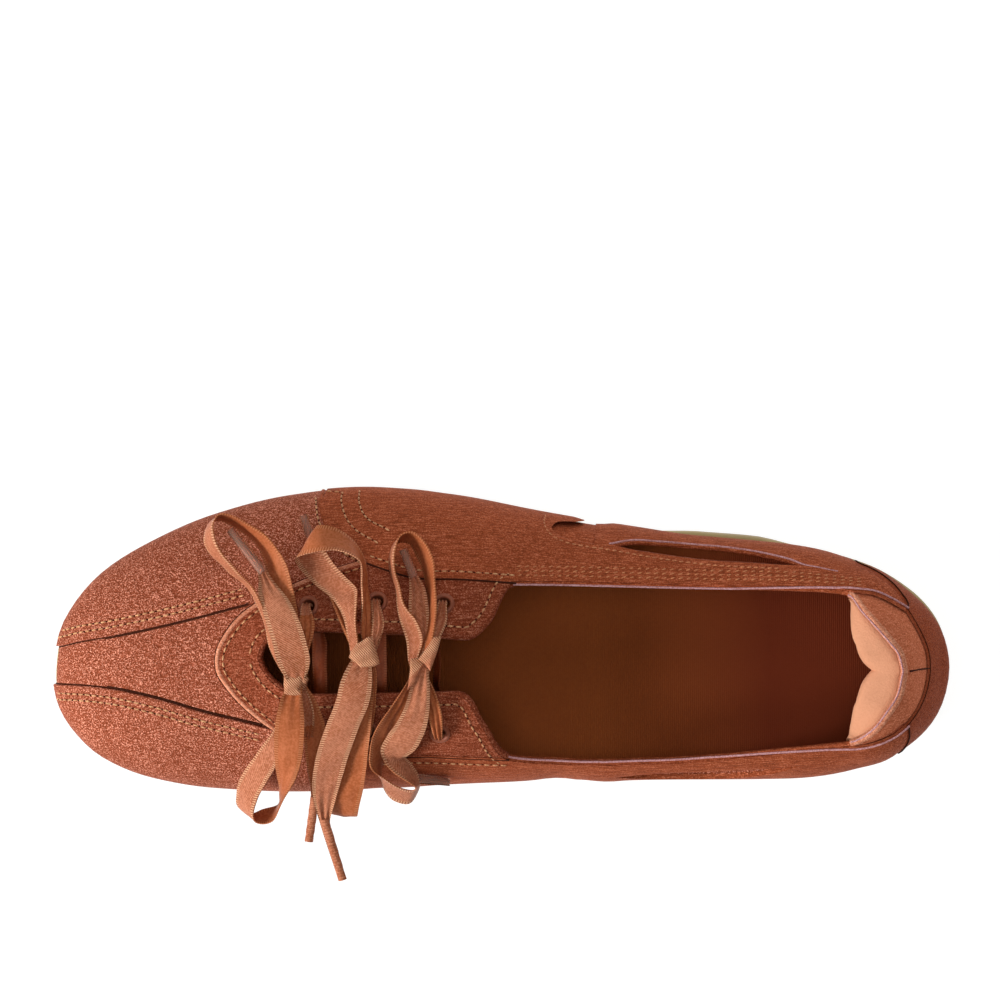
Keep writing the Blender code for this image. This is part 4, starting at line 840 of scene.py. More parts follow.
def on_upper(plan):
    """Which plan points lie well inside the upper's widest line."""
    x, y = np.asarray(plan, float).T
    angle = turn(x, UPPER_HALF)
    reach = 0.1
    inside = y < outline_y("upper", "lateral", angle) - reach
    return inside & (y > outline_y("upper", "medial", angle) + reach)


def walk(plan, offset):
    """A plan line moved sideways over the surface by a true distance."""
    plan = np.asarray(plan, float)
    steps = max(int(abs(offset) / 1.5), 1)
    for _ in range(steps):
        points, normals = on_last(plan)
        plan = plan + beside(normals, ahead_of(points))[:, :2] * offset / steps
    return plan


def eyelet(side, i):
    """The place of an eyelet on the last, and the normal there."""
    return on_last([EYELETS[side + "_x"][i], EYELETS[side + "_y"][i]])


EACH_EYELET = [(side, i) for side, _ in SIDES for i in range(len(EYELETS["lateral_x"]))]


# Meshes

def place(points):
    """Millimetres of the tables as metres in the part's frame."""
    return (np.asarray(points, float) + np.array([0.0, AXIS_Y, 0.0])) * MM


def soften(mesh, sharp=40.0):
    """Smooth shading but for sharp edges."""
    mesh.shade_smooth()
    mesh.set_sharp_from_angle(angle=math.radians(sharp))


def mesh_piece(name, points, faces, looks="", sharp=40.0):
    """A new piece of a mesh given in millimetres, with its materials by name."""
    mesh = bpy.data.meshes.new(name)
    mesh.from_pydata(place(points).tolist(), [], faces)
    mesh.validate()
    soften(mesh, sharp)
    for look in looks.split():
        mesh.materials.append(MATERIALS[look])
    piece = bpy.data.objects.new(name, mesh)
    bpy.context.scene.collection.objects.link(piece)
    return piece


def fix_normals(piece):
    """Turns a closed mesh's faces outward."""
    shape = bmesh.new()
    shape.from_mesh(piece.data)
    bmesh.ops.recalc_face_normals(shape, faces=shape.faces)
    shape.to_mesh(piece.data)
    shape.free()
    return piece


def unwrap(piece, mark):
    """Gives each corner the place in the ribbon's pattern that mark says for its point."""
    marks = [mark(loop.vertex_index) for loop in piece.data.loops]
    piece.data.uv_layers.new(name="UVMap").data.foreach_set("uv", np.ravel(marks))


def finished(piece, slot, *nodes):
    """Says what a piece rides on and stands for; the slot, for the finish it would take, is not used."""
    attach(piece, "root")
    if nodes:
        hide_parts(*nodes)
    return piece


def joined(name, parts, looks, sharp=50.0):
    """One piece of many small meshes."""
    points, faces, base = [], [], 0
    for some_points, some_faces in parts:
        points.append(some_points)
        faces += [tuple(base + corner for corner in face) for face in some_faces]
        base += len(some_points)
    return mesh_piece(name, np.concatenate(points), faces, looks, sharp)


def trim(name, parts, look, slot="satin"):
    """A piece of the finest parts, which has no solid of its own."""
    return finished(joined(name, parts, look), slot)


def lattice(rings, around, closed=False):
    """Faces between rings of points, from each to the next, and from the last to the first if closed."""
    faces = []
    for i in range(rings if closed else rings - 1):
        low, high = i * around, (i + 1) % rings * around
        for k in range(around):
            n = (k + 1) % around
            faces.append((low + k, low + n, high + n, high + k))
    return faces


def tube_faces(rings, around):
    """Faces of a tube of rings with closed ends."""
    last = (rings - 1) * around
    return lattice(rings, around) + [tuple(range(around - 1, -1, -1)), tuple(range(last, last + around))]


def skin(name, outer, inner, looks, closed=True, inner_slot=0):
    """A solid between two grids: two skins and the rims that join them."""
    columns, rows = outer.shape[:2]
    points = np.concatenate([outer.reshape(-1, 3), inner.reshape(-1, 3)])
    under = columns * rows
    faces, slots = [], []
    for i in range(columns if closed else columns - 1):
        here, there = i * rows, (i + 1) % columns * rows
        for j in range(rows - 1):
            faces.append((here + j, here + j + 1, there + j + 1, there + j))
            faces.append((under + here + j, under + there + j, under + there + j + 1, under + here + j + 1))
            slots += [0, inner_slot]
        for j, flip in ((0, 1), (rows - 1, -1)):
            faces.append((here + j, there + j, under + there + j, under + here + j)[::flip])
            slots.append(0)
    if not closed:
        for low in [i * rows + j for i in (0, columns - 1) for j in range(rows - 1)]:
            faces.append((low, low + 1, under + low + 1, under + low))
            slots.append(0)
    piece = mesh_piece(name, points, faces, looks)
    piece.data.polygons.foreach_set("material_index", slots)
    return fix_normals(piece)


def cutter(points, count):
    """A closed shape between two outlines of as many points."""
    return fix_normals(mesh_piece("cutter", points, tube_faces(2, count)))


def prism(outline, low, high):
    """A cutter that stands on a plan outline."""
    return cutter([(*point, z) for z in (low, high) for point in outline], len(outline))


def punch(outline):
    """A cutter through the wall of the upper, square to its surface all round its rim."""
    reach = 5.0
    points, normals = on_last(outline)
    return cutter(np.concatenate([points - normals * reach, points + normals * reach]), len(outline))


def cut(piece, tools, operation="DIFFERENCE"):
    """Booleans of a piece with cutters, applied, after which the cutters are gone."""
    for tool in tools:
        modifier = piece.modifiers.new("cut", "BOOLEAN")
        modifier.operation = operation
        modifier.object = tool
        modifier.solver = "EXACT"
    graph = bpy.context.evaluated_depsgraph_get()
    mesh = bpy.data.meshes.new_from_object(piece.evaluated_get(graph))
    old = piece.data
    piece.modifiers.clear()
    piece.data = mesh
    bpy.data.meshes.remove(old)
    soften(mesh)
    for tool in tools:
        bpy.data.objects.remove(tool)


def tube(points, normals, radius, sides=8, flat=1.0):
    """Points and faces of a round or flattened tube along a line, upright along the normals."""
    ahead = ahead_of(points)
    side = beside(normals, ahead)
    up = np.cross(ahead, side)
    radii = np.broadcast_to(radius, (len(points),))[:, None, None]
    angles = np.linspace(0.0, 2.0 * math.pi, sides, endpoint=False)[None, :, None]
    rings = points[:, None] + radii * (side[:, None] * np.cos(angles) + up[:, None] * flat * np.sin(angles))
    return rings.reshape(-1, 3), tube_faces(len(points), sides)


def edge_tube(plan, lift, radius, flat=1.0):
    """A tube that follows a plan line at a height over the last."""
    return tube(*on_last(plan, lift), radius, 8, flat)


def ball(around, rings):
    """A unit ball as points and faces."""
    points, faces = [(0.0, 0.0, -1.0)], []
    for i in range(1, rings):
        lean = math.pi * i / rings
        for k in range(around):
            spin = 2.0 * math.pi * k / around
            points.append((math.sin(lean) * math.cos(spin), math.sin(lean) * math.sin(spin), -math.cos(lean)))
    points.append((0.0, 0.0, 1.0))
    top = len(points) - 1
    for k in range(around):
        n = (k + 1) % around
        faces.append((0, 1 + n, 1 + k))
        for low in range(1, top - around, around):
            faces.append((low + k, low + n, low + around + n, low + around + k))
        faces.append((top - around + k, top - around + n, top))
    return np.array(points), faces


BEAD_POINTS, BEAD_FACES = ball(6, 5)
BEAD_POINTS = np.roll(BEAD_POINTS, 1, axis=1)


def beads(spots, size, skew=0.0, uneven=False):
    """Small ellipsoids on the last, each longest along the line of their spots or turned from it."""
    ahead = ahead_of(spots)
    normals = on_last(spots[:, :2])[1]
    side = beside(normals, ahead)
    up = np.cross(ahead, side) if uneven else normals
    ways = zip(spots, ahead * math.cos(skew) + side * math.sin(skew),
               side * math.cos(skew) - ahead * math.sin(skew), up)
    made = []
    for spot, a, s, u in ways:
        long = size[0] * (random.uniform(0.85, 1.1) if uneven else 1.0)
        made.append((spot + BEAD_POINTS @ np.array([a * long, s * size[1], u * size[2]]), BEAD_FACES))
    return made


def spots_over(plan, lift, pitch):
    """Even spots at a height over a plan line."""
    return evenly(on_last(curve(plan, 0.6) if len(plan) < COARSE else plan, lift)[0], pitch)


def stitches(plan, lift, pitch, size=STITCH, skew=0.0):
    """A row of stitches along a plan line."""
    return beads(spots_over(plan, lift, pitch), size, skew, uneven=True)


def dips(plan, lift, pitch):
    """Dark beads of painted shade in the dips between the stitches of a row."""
    spots = spots_over(plan, lift, pitch)
    return beads((spots[1:] + spots[:-1]) / 2.0, DIP)


# Materials

class Shader:
    """A Principled material that is put together a node at a time."""

    def __init__(self, name, roughness, **sockets):
        self.material = bpy.data.materials.new(name)
        self.material.use_nodes = True
        self.nodes = self.material.node_tree.nodes
        self.main = self.nodes["Principled BSDF"]
        self.main.inputs["Roughness"].default_value = roughness
        for socket, value in sockets.items():
            self.feed(self.main.inputs[socket.replace("_", " ")], value)

    def feed(self, socket, value):
        """Sets a socket to a number, a vector or a colour, or links an output to it."""
        if isinstance(value, bpy.types.NodeSocket):
            self.material.node_tree.links.new(value, socket)
        elif socket.type == "RGBA":
            socket.default_value = (*value, 1.0)
        else:
            socket.default_value = value

    def node(self, kind, inputs=(), **settings):
        node = self.nodes.new(kind)
        for key, value in settings.items():
            setattr(node, key, value)
        for socket, value in dict(inputs).items():
            self.feed(node.inputs[socket], value)
        return node

    def place(self, stretch=(1.0, 1.0, 1.0)):
        """Object coordinates, stretched, so that a grain has its size in metres."""
        where = self.node("ShaderNodeTexCoord").outputs["Object"]
        return self.node("ShaderNodeMapping", {"Vector": where, "Scale": stretch}).outputs["Vector"]

    def noise(self, scale, detail=2.0, rough=0.5, where=None):
        inputs = {"Vector": where or self.place(), "Scale": scale, "Detail": detail, "Roughness": rough}
        return self.node("ShaderNodeTexNoise", inputs).outputs["Fac"]

    def ramp(self, factor, *stops):
        """A colour ramp: each stop is a place and a colour."""
        ramp = self.node("ShaderNodeValToRGB", {"Fac": factor})
        elements = ramp.color_ramp.elements
        while len(elements) < len(stops):
            elements.new(0.5)
        for element, (at, colour) in zip(elements, stops):
            element.position = at
            element.color = (*colour, 1.0)
        return ramp.outputs["Color"]

    def mix(self, factor, first, second):
        return self.node("ShaderNodeMix", {0: factor, 6: first, 7: second}, data_type="RGBA").outputs[2]

    def math(self, operation, *values):
        return self.node("ShaderNodeMath", dict(enumerate(values)), operation=operation).outputs[0]

    def times(self, first, second):
        return self.math("MULTIPLY", first, second)

    def plus(self, first, second):
        return self.math("ADD", first, second)

    def split(self, vector):
        return self.node("ShaderNodeSeparateXYZ", {0: vector}).outputs

    def colour(self, value):
        self.feed(self.main.inputs["Base Color"], value)

    def bump(self, height, depth):
        bump = self.node("ShaderNodeBump", {"Distance": depth * MM, "Height": height})
        self.feed(self.main.inputs["Normal"], bump.outputs["Normal"])


def satin(name, dark, mid, light, speckle=0.75, streak=0.5, spread=0.12, depth=0.4):
    """Shoe satin: a grain over a fine cross weave, whose tone is partly the weave's own and partly painted
    sparkle in its light specks.
    """
    look = Shader(name, 0.5, Specular_IOR_Level=0.02, Metallic=0.22, Specular_Tint=(1.0, 0.45, 0.27))
    grain = look.noise(2500.0, 1.0, 0.7)
    along = look.noise(2300.0, 2.0, 0.6, look.place((0.10, 1.0, 1.0)))
    # Painted sparkle: the lightest specks of the grain in the colour stand for glints of the threads; the
    # rest of its tone is the weave's own.
    body = look.ramp(look.plus(look.times(grain, speckle), look.times(along, 1.0 - speckle)),
                     (0.5 - spread, dark), (0.52, mid), (0.5 + spread * 1.15, light))
    look.colour(look.mix(look.times(look.noise(70.0), 0.3), body, dark))
    look.feed(look.main.inputs["Roughness"], look.math("MULTIPLY_ADD", grain, -0.4, 0.68))
    look.bump(look.plus(look.times(grain, speckle), look.times(along, streak)), depth)
    return look.material


def ribbon_satin(name, dark, light, gap, tick_colour, weave, glow_share):
    """A side of the ribbon: satin with a fine slanting weave and a stitched edge."""
    look = Shader(name, 0.42, Specular_IOR_Level=0.07, Specular_Tint=(1.0, 0.7, 0.52))
    along, across, _ = look.split(look.node("ShaderNodeUVMap").outputs["UV"])
    grain = look.noise(1500.0)
    slant = look.plus(look.times(along, 8.0), look.times(across, 62.0))
    twill = look.math("SINE", look.math("MULTIPLY_ADD", grain, 3.0, slant))
    edge = look.math("GREATER_THAN", look.math("ABSOLUTE", across), 0.36)
    tick = look.math("GREATER_THAN", look.math("SINE", look.times(along, 2.0 * math.pi / 0.74)), 0.05)
    sewn = look.times(edge, tick)
    body = look.ramp(look.plus(look.times(look.noise(90.0, 3.0), 0.3), look.times(grain, 0.7)),
                     (0.40, dark), (0.60, light))
    body = look.mix(look.math("MULTIPLY_ADD", twill, weave, weave), body, gap)
    body = look.mix(look.times(edge, 0.45), body, gap)
    look.colour(look.mix(look.times(sewn, 0.75), body, tick_colour))
    look.bump(look.plus(look.times(twill, 2.0 * weave), look.times(sewn, 0.8)), 0.16)

    glow = look.node("ShaderNodeBsdfTranslucent", {"Color": (0.72, 0.20, 0.05)})
    blend = look.node("ShaderNodeMixShader", {0: glow_share, 1: look.main.outputs[0], 2: glow.outputs[0]})
    look.feed(look.nodes["Material Output"].inputs["Surface"], blend.outputs[0])
    return look.material


def cloth(name, dark, light, ribs=None, shaded=False):
    """Matte cloth, with a pitch of its ribs across the shoe, and, if shaded, with painted shade that darkens
    it towards the heel.
    """
    look = Shader(name, 0.9, Specular_IOR_Level=0.1)
    grain = look.noise(1500.0, 3.0, 0.7)
    body = look.mix(look.times(grain, 0.6), dark, light)
    body = look.mix(look.times(look.noise(25.0), 0.4), body, dark)
    height = grain
    along = look.split(look.node("ShaderNodeTexCoord").outputs["Object"])[0]
    if ribs:
        rib = look.math("SINE", look.times(along, 2.0 * math.pi / (ribs * MM)))
        body = look.mix(look.math("MULTIPLY_ADD", rib, 0.22, 0.22), body, dark)
        height = look.plus(look.times(grain, 0.5), look.times(rib, 0.25))
    if shaded:
        # Painted shade: the cloth darkens towards the heel, where the heel's wall shades the insole.
        painted_heel_shade = look.times(look.math("SUBTRACT", along, 28.0 * MM), 1.0 / (50.0 * MM))
        painted_heel_shade = look.math("MINIMUM", look.math("MAXIMUM", painted_heel_shade, 0.0), 1.0)
        body = look.mix(look.times(painted_heel_shade, 0.88), body, (0.10, 0.013, 0.004))
    look.colour(body)
    look.bump(height, 0.2)
    return look.material


def two_tone(name, roughness, pitch, low, dark, light, detail=2.0, grain=0.0, **sockets):
    """A plain material that wavers between two tones."""
    look = Shader(name, roughness, **sockets)
    look.colour(look.ramp(look.noise(pitch, detail), (low, dark), (1.0 - low, light)))
    if grain:
        look.bump(look.noise(1500.0), grain)
    return look.material


def thread(name, dark, light):
    """Twisted thread, seen from far off."""
    return two_tone(name, 0.6, 2600.0, 0.35, dark, light, Specular_IOR_Level=0.3)


MATERIALS = {
    # The toe's lightest specks are far lighter than the other satins': painted sparkle and highlight at the
    # toe.
    "toe": satin("satin_toe", (0.19, 0.042, 0.018), (0.32, 0.076, 0.037), (0.86, 0.36, 0.24),
                 spread=0.11, depth=0.5),
    "side": satin("satin_side", (0.19, 0.042, 0.016), (0.355, 0.080, 0.031), (0.62, 0.19, 0.094),
                  0.5, 0.8),
    "counter": satin("satin_heel", (0.15, 0.027, 0.008), (0.28, 0.054, 0.017), (0.46, 0.115, 0.045),
                     0.5, 0.8),
    # Painted shade: the eyestay's satin, also used on the throat's edge, is darker than the toe's for the
    # shade of the bows and its side turned from the light.
    "eyestay": satin("satin_eyestay_painted_shade", (0.14, 0.028, 0.010), (0.28, 0.062, 0.028), (0.56, 0.20, 0.115),
                     0.6, 0.7),
    "tab": satin("satin_tab", (0.36, 0.092, 0.040), (0.57, 0.165, 0.080), (0.80, 0.31, 0.175),
                 0.5, 0.7, 0.14, 0.3),
    # Painted highlight: the rolled edges are lighter and pinker than the satin they are rolled from, for the
    # light that their round catches.
    "roll": satin("satin_roll_painted_highlight", (0.44, 0.135, 0.068), (0.60, 0.24, 0.138), (0.86, 0.45, 0.30),
                  0.6, 0.5, 0.14, 0.3),
    "ribbon": ribbon_satin("ribbon_matte", (0.41, 0.130, 0.062), (0.62, 0.245, 0.136),
                           (0.24, 0.06, 0.022), (0.84, 0.47, 0.27), 0.18, 0.08),
    "ribbon_back": ribbon_satin("ribbon_smooth", (0.35, 0.092, 0.031), (0.48, 0.147, 0.060),
                                (0.24, 0.05, 0.016), (0.62, 0.25, 0.11), 0.02, 0.14),
    "bar": ribbon_satin("ribbon_in_shade", (0.085, 0.013, 0.003), (0.12, 0.020, 0.005),
                        (0.045, 0.007, 0.002), (0.17, 0.045, 0.016), 0.04, 0.02),
    "tan": thread("tan_thread", (0.37, 0.14, 0.055), (0.76, 0.42, 0.20)),
    "quiet": thread("rose_thread", (0.38, 0.115, 0.045), (0.66, 0.26, 0.105)),
    "mauve": thread("mauve_thread", (0.34, 0.12, 0.11), (0.60, 0.34, 0.36)),
    "seam": cloth("seam_shadow", (0.035, 0.008, 0.003), (0.08, 0.02, 0.008)),
    "dip": cloth("stitch_shadow", (0.045, 0.010, 0.0035), (0.08, 0.020, 0.008)),
    "lining": cloth("peach_lining", (0.60, 0.26, 0.14), (0.80, 0.41, 0.255)),
    "inside": cloth("brown_lining", (0.11, 0.028, 0.007), (0.20, 0.06, 0.018), 1.1),
    "insole": cloth("insole_cloth", (0.21, 0.048, 0.010), (0.45, 0.120, 0.031), 0.58, shaded=True),
    "rubber": two_tone("sole_rubber", 0.55, 40.0, 0.3, (0.34, 0.235, 0.08), (0.45, 0.33, 0.125), 3.0, 0.1),
    "enamel": two_tone("eyelet_enamel", 0.45, 300.0, 0.3, (0.20, 0.052, 0.024), (0.30, 0.09, 0.045),
                       Specular_IOR_Level=0.2, Coat_Weight=0.08, Coat_Roughness=0.3),
    "clear": two_tone("clear_plastic", 0.25, 200.0, 0.3, (0.74, 0.40, 0.28), (0.82, 0.48, 0.36),
                      Transmission_Weight=0.75, IOR=1.1),
}


# Camera

def make_camera():
    """A long lens high over the shoe, turned as little from the vertical as in the photograph."""
    away, tilt, pixel = 1400.0, math.radians(2.6), 0.2902       # pixel: millimetres in one of the photo's
    aim = np.array([0.0, 47.0, 20.0])
    back = np.array([0.0, math.sin(tilt), math.cos(tilt)])
    data = bpy.data.cameras.new("camera")
    data.sensor_width = 36.0
    data.lens = data.sensor_width * away / pixel / 1000.0
    camera = bpy.data.objects.new("camera", data)
    camera.location = place(aim + back * away)
    camera.rotation_euler = (-tilt, 0.0, 0.0)
    bpy.context.scene.collection.objects.link(camera)
    bpy.context.scene.camera = camera


# Ribbons

def ribbon(name, rows, seed, looks="ribbon ribbon_back", pleated=1.0):
    """A ribbon through rows of places and ways across, and the line that it follows."""
    rows = curve(rows, 0.9)
    middle, across, turned = rows[:, :3], rows[:, 3:6], rows[:, 6] > 0.5
    off = unit(np.cross(ahead_of(middle), across))
    along = run(middle)
    far = along[:, None]
    gathered = np.clip(1.0 - np.linalg.norm(across, axis=1) / RIBBON_WIDE, 0.0, 1.0)[:, None]
    phase = seed * 1.7

    # Folds across it where it is gathered, a cupped section, and a slow ripple along it.
    fold = (np.cos(2.0 * math.pi * PLEATS * ACROSS + phase + far * 0.03)
            * (0.15 + 0.75 * gathered) * np.minimum(1.0, gathered * 2.5 + 0.1) * pleated)
    cup = (4.0 * ACROSS ** 2 - 0.5) * 0.35 * np.sin(far * 0.09 + phase)
    ripple = 0.12 * np.sin(far * 0.55 + 6.0 * ACROSS + phase)
    height = fold * 0.6 + cup + ripple

    sheet = middle[:, None] + across[:, None] * ACROSS[None, :, None] + off[:, None] * height[:, :, None]
    half = off[:, None] * RIBBON_THICK / 2.0
    ring = np.concatenate([sheet + half, (sheet - half)[:, ::-1]], axis=1)

    count, sides = ring.shape[:2]
    wide = sides // 2
    faces, slots = [], []
    for i in range(count - 1):
        low, high = i * sides, (i + 1) * sides
        for k in range(sides):
            n = (k + 1) % sides
            faces.append((low + k, high + k, high + n, low + n))
            slots.append(int((k >= wide) != turned[i]))
    for i in (0, count - 1):
        low, high = i * sides, (i + 1) * sides - 1
        for k in range(wide - 1):
            faces.append((low + k, low + k + 1, high - k - 1, high - k)[::1 if i else -1])
            slots.append(0)
    piece = mesh_piece(name, ring.reshape(-1, 3), faces, looks, 60.0)
    piece.data.polygons.foreach_set("material_index", slots)
    shares = np.concatenate([ACROSS, ACROSS[::-1]])
    unwrap(piece, lambda point: (along[point // sides], shares[point % sides]))
    return piece, middle


def same_way(rows, further):
    """Rows that go on from others, with their way across turned to match."""
    if np.dot(rows[-1][3:6], further[0][3:6]) < 0.0:
        further = [(*row[:3], *(-value for value in row[3:6]), row[6]) for row in further]
    return rows + further


def make_tip(name, start, end, node):
    """The end of a tail: a tightly rolled point, or a clear sleeve round the gathered ribbon."""
    count = 14
    start, end = np.array(start[:3]), np.array(end[:3])
    line = start + (end - start) * np.linspace(-0.04, 1.0, count)[:, None]
    shares = np.linspace(0.0, 1.0, count)
    look, radius = "clear", 1.35 - 0.2 * shares
    if name in ROLLED:
        look, radius = "ribbon", 1.3 - 0.1 * shares + 0.06 * np.sin(np.arange(count) * 2.1)
    points, faces = tube(line, np.array([0.0, 0.0, 1.0]), radius, count, 0.85)
    piece = fix_normals(mesh_piece(name, points, faces, look, 50.0))
    unwrap(piece, lambda point: (point // count * 1.3, 0.0))
    return finished(piece, "ribbon", node)


def cushion(outline, height, thick):
    """A soft flat fold over a plan outline, closed underneath."""
    flat = [(*point, 0.0) for point in outline]
    sides = [curve(side, 0.5)[:-1, :2] for side in zip(flat, flat[1:] + flat[:1])]
    loop = np.concatenate(sides)
    middle = loop.mean(axis=0)
    rings = []
    for share, lift in ((1.0, -0.9), (1.04, -0.3), (1.0, 0.2), (0.86, 0.62), (0.6, 0.9), (0.3, 1.0)):
        rings.append(np.column_stack([middle + (loop - middle) * share,
                                      np.full(len(loop), height + lift * thick)]))
    return np.concatenate(rings), tube_faces(len(rings), len(loop))


def make_knot(i, node):
    """The knot: a core, and the flat folds of ribbon that wrap it."""
    spot = np.array([KNOTS[axis][i] for axis in "xyz"])
    size = np.array([KNOTS[axis][i] / 2.0 - 0.6 for axis in ("long", "wide", "high")])
    points, faces = ball(24, 14)
    parts = [(spot + points * size, faces)] + [cushion(*fold) for fold in KNOT_FOLDS[i]]
    piece = fix_normals(joined("knot_%d" % (i + 1), parts, "ribbon", 60.0))

    def mark(point):
        x, y, _ = piece.data.vertices[point].co / MM
        return x + y, (x - y) * 0.02

    unwrap(piece, mark)
    return finished(piece, "ribbon", node)


def make_bows():
    """Each bow has two ribbons, each from an eyelet through the knot, round a loop to its tail."""
    for i, strips in enumerate(BOWS):
        node = "bow_%d" % (i + 1)
        knot = make_knot(i, node)
        for seed, (side, other) in enumerate((("lateral", "medial"), ("medial", "lateral"))):
            spot, normal = eyelet(side, i)
            rows = [(*(spot + normal * high), GATHERED, 0.0, 0.0, 0.0) for high in RISES]
            for part in ("rise_" + side, "loop_" + other, "tail_" + side):
                rows = same_way(rows, [(*row, float(part in TURNED[i])) for row in strips[part]])
            piece, middle = ribbon("ribbon_%d_%s" % (i + 1, side), rows, 2 * i + seed)
            finished(piece, "ribbon", node)
            tip = make_tip("tip_%d_%s" % (i + 1, side), *strips["tail_" + side][-2:], node)
            path = place(middle)
            round(float(run(path)[-1]), 3)


def make_bars():
    """The ribbon across the throat, from under one eyelet to under the one across."""
    for i, (x, across_x, across_z) in enumerate(zip(*BARS.values())):
        first, last = [spot - normal * BAR_DEPTH for spot, normal in (eyelet(side, i) for side, _ in SIDES)]
        rows = []
        for share, spread in zip(*BAR_SPREAD.values()):
            end = first + (last - first) * share
            rows.append((end[0] + (x - end[0]) * spread, end[1], end[2],
                         GATHERED + (across_x - GATHERED) * spread, 0.0, across_z * spread, 0.0))
        piece, _ = ribbon("bar_%d" % (i + 1), rows, i + 9, "bar bar", 0.15)
        finished(piece, "ribbon", "lace_bar_%d" % (i + 1))


# Upper

def make_shell():
    """The base of the upper, with the centre strip of the toe and the lining inside."""
    rows = GRID.shape[1]
    wall = WALL - EDGE_THINNER * np.clip((np.arange(rows) - rows + 4) / 3.0, 0.0, 1.0)
    shell = skin("upper_shell", GRID, GRID - NORMALS * wall[None, :, None], "toe inside side", inner_slot=1)
    for face in shell.data.polygons:
        if face.material_index == 0 and face.center.x > SIDES_FROM * MM:
            face.material_index = 2
    cut(shell, [lens_cutter("lateral"), lens_cutter("medial")] + eyelet_holes())
    finished(shell, "satin", "upper")


def lens_cutter(side):
    """A cutter for a cut-out. The lateral one is upright, so that its lower rim is thin from above."""
    points = list(at_height(side, LENS[side]))
    tip = max(range(len(points)), key=lambda i: abs(points[i][0] - points[0][0]))
    there, back_again = curve(points[:tip + 1], 1.5), curve(points[tip:] + points[:1], 1.5)
    outline = np.concatenate([there[:-1], back_again[:-1]])
    if side == "medial":
        return punch(outline)
    return prism(on_last(outline, QUARTER_FACE)[0][:, :2], LENS_LOW, ABOVE)


def eyelet_holes():
    """Cutters for the barrels of the eyelets."""
    holes = []
    for side, i in EACH_EYELET:
        spot, normal = eyelet(side, i)
        turned = Vector(normal).to_track_quat("Z", "Y").to_euler()
        bpy.ops.mesh.primitive_cylinder_add(vertices=20, radius=(EYELET_BARREL + 0.05) * MM,
                                            depth=10.0 * MM, location=place(spot), rotation=turned)
        holes.append(bpy.context.object)
    return holes


def kept(base):
    """The share of its thickness that an overlay keeps: it runs out at the end of the window."""
    x, y = base[..., 0], base[..., 1]
    near = np.clip((x - FADE_FROM + FADE_LEAD) / FADE_LEAD, 0.0, 1.0)
    near = near * (1.0 - ease((x - FADE_FROM) / (FADE_TO - FADE_FROM)))
    return np.maximum(1.0 - near * ease((y - FADE_LOW) / FADE_RISE), FADE_LEAST)


def outline_of(*lines):
    """A closed plan outline of smooth lines, each joined to the next at a corner."""
    parts = []
    for line in lines:
        part = curve(line) if len(line) > 2 else np.array(line, float)
        meets = parts and np.linalg.norm(part[0] - parts[-1][-1]) <= 0.01
        parts.append(part[1:] if meets else part)
    return np.concatenate(parts)


def panel(name, node, columns, face, look, outline, tools=()):
    """An overlay: a form on the upper, cut to its plan outline."""
    chosen = [column % len(GRID) for column in range(columns[0] * FINE, columns[1] * FINE + 1)]
    base, away = GRID[chosen], NORMALS[chosen]
    outer = base + away * (face * kept(base))[:, :, None]
    piece = skin(name, outer, base - away * SUNK, look, closed=False)
    cut(piece, [prism(outline, BELOW, ABOVE)], "INTERSECT")
    if tools:
        cut(piece, tools)
    finished(piece, "satin", node)


def make_panels():
    """The overlays of the upper."""
    columns = {"lateral": (-2, 13), "medial": (-13, 2)}
    for side, way in SIDES:
        outline = outline_of(TOE_SEAM[side], EYESTAY[side][4 if side == "lateral" else 5:],
                             QUARTER_FRONT[side][::-1], ((-131.0, way * OUTSIDE),))
        panel("wing_" + side, "vamp_wing_" + side, columns[side], WING_FACE, "toe", outline)

    outline = outline_of(EYESTAY["lateral"][::-1], EYESTAY["medial"], QUARTER_TOP["medial"],
                         ((9.0, -25.6), (9.0, 24.9)), QUARTER_TOP["lateral"][:0:-1])
    panel("eyestay_band", "eyestay", (-22, 21), BAND_FACE, "eyestay", outline, eyelet_holes())

    columns = {"lateral": (8, 36), "medial": (-37, -8)}
    for side, way in SIDES:
        outline = outline_of(QUARTER_FRONT[side], QUARTER_TOP[side], ((30.0, way * 15.0), (90.0, way * 15.0)),
                             STRAP_TOP[side], COUNTER[side][::-1], ((101.0, way * OUTSIDE),))
        tools = [lens_cutter(side)]
        if side == "lateral":
            tools.append(prism(outline_of(WINDOW_EDGE, WINDOW_END), WINDOW_LOW, ABOVE))
        panel("quarter_" + side, "quarter_overlay_" + side, columns[side], QUARTER_FACE, "side",
              outline, tools)

    outline = outline_of(COUNTER["lateral"], COUNTER_TOP, COUNTER["medial"][::-1],
                         ((140.0, -45.0), (140.0, 45.0)))
    panel("counter", "heel_counter", (30, 46), COUNTER_FACE, "counter", outline)
    outline = outline_of(STRAP_TOP["lateral"], COUNTER_TOP, STRAP_TOP["medial"][::-1])
    panel("heel_tab", "heel_collar", (30, 46), TAB_FACE, "tab", outline)


def seam(side, plan, lift, radius, offset=0.0):
    """A tube along a line that starts at the sole and climbs onto the upper."""
    plan = walk(curve(plan), offset) if offset else curve(plan)
    plan = plan[on_upper(plan)]
    points, above = on_last(plan, lift)
    middle = SIDE_STEPS * FINE
    columns = range(middle + 1) if side == "lateral" else range(middle, len(GRID))
    column = min(columns, key=lambda i: abs(GRID[i, TUCK_ROWS, 0] - plan[0, 0]))
    out = NORMALS[column, :TUCK_ROWS + 1]
    low = GRID[column, :TUCK_ROWS + 1] + out * lift
    low[:, 0] += plan[0, 0] - low[-1, 0]
    return tube(np.concatenate([low, points]), np.concatenate([out, above]), radius)


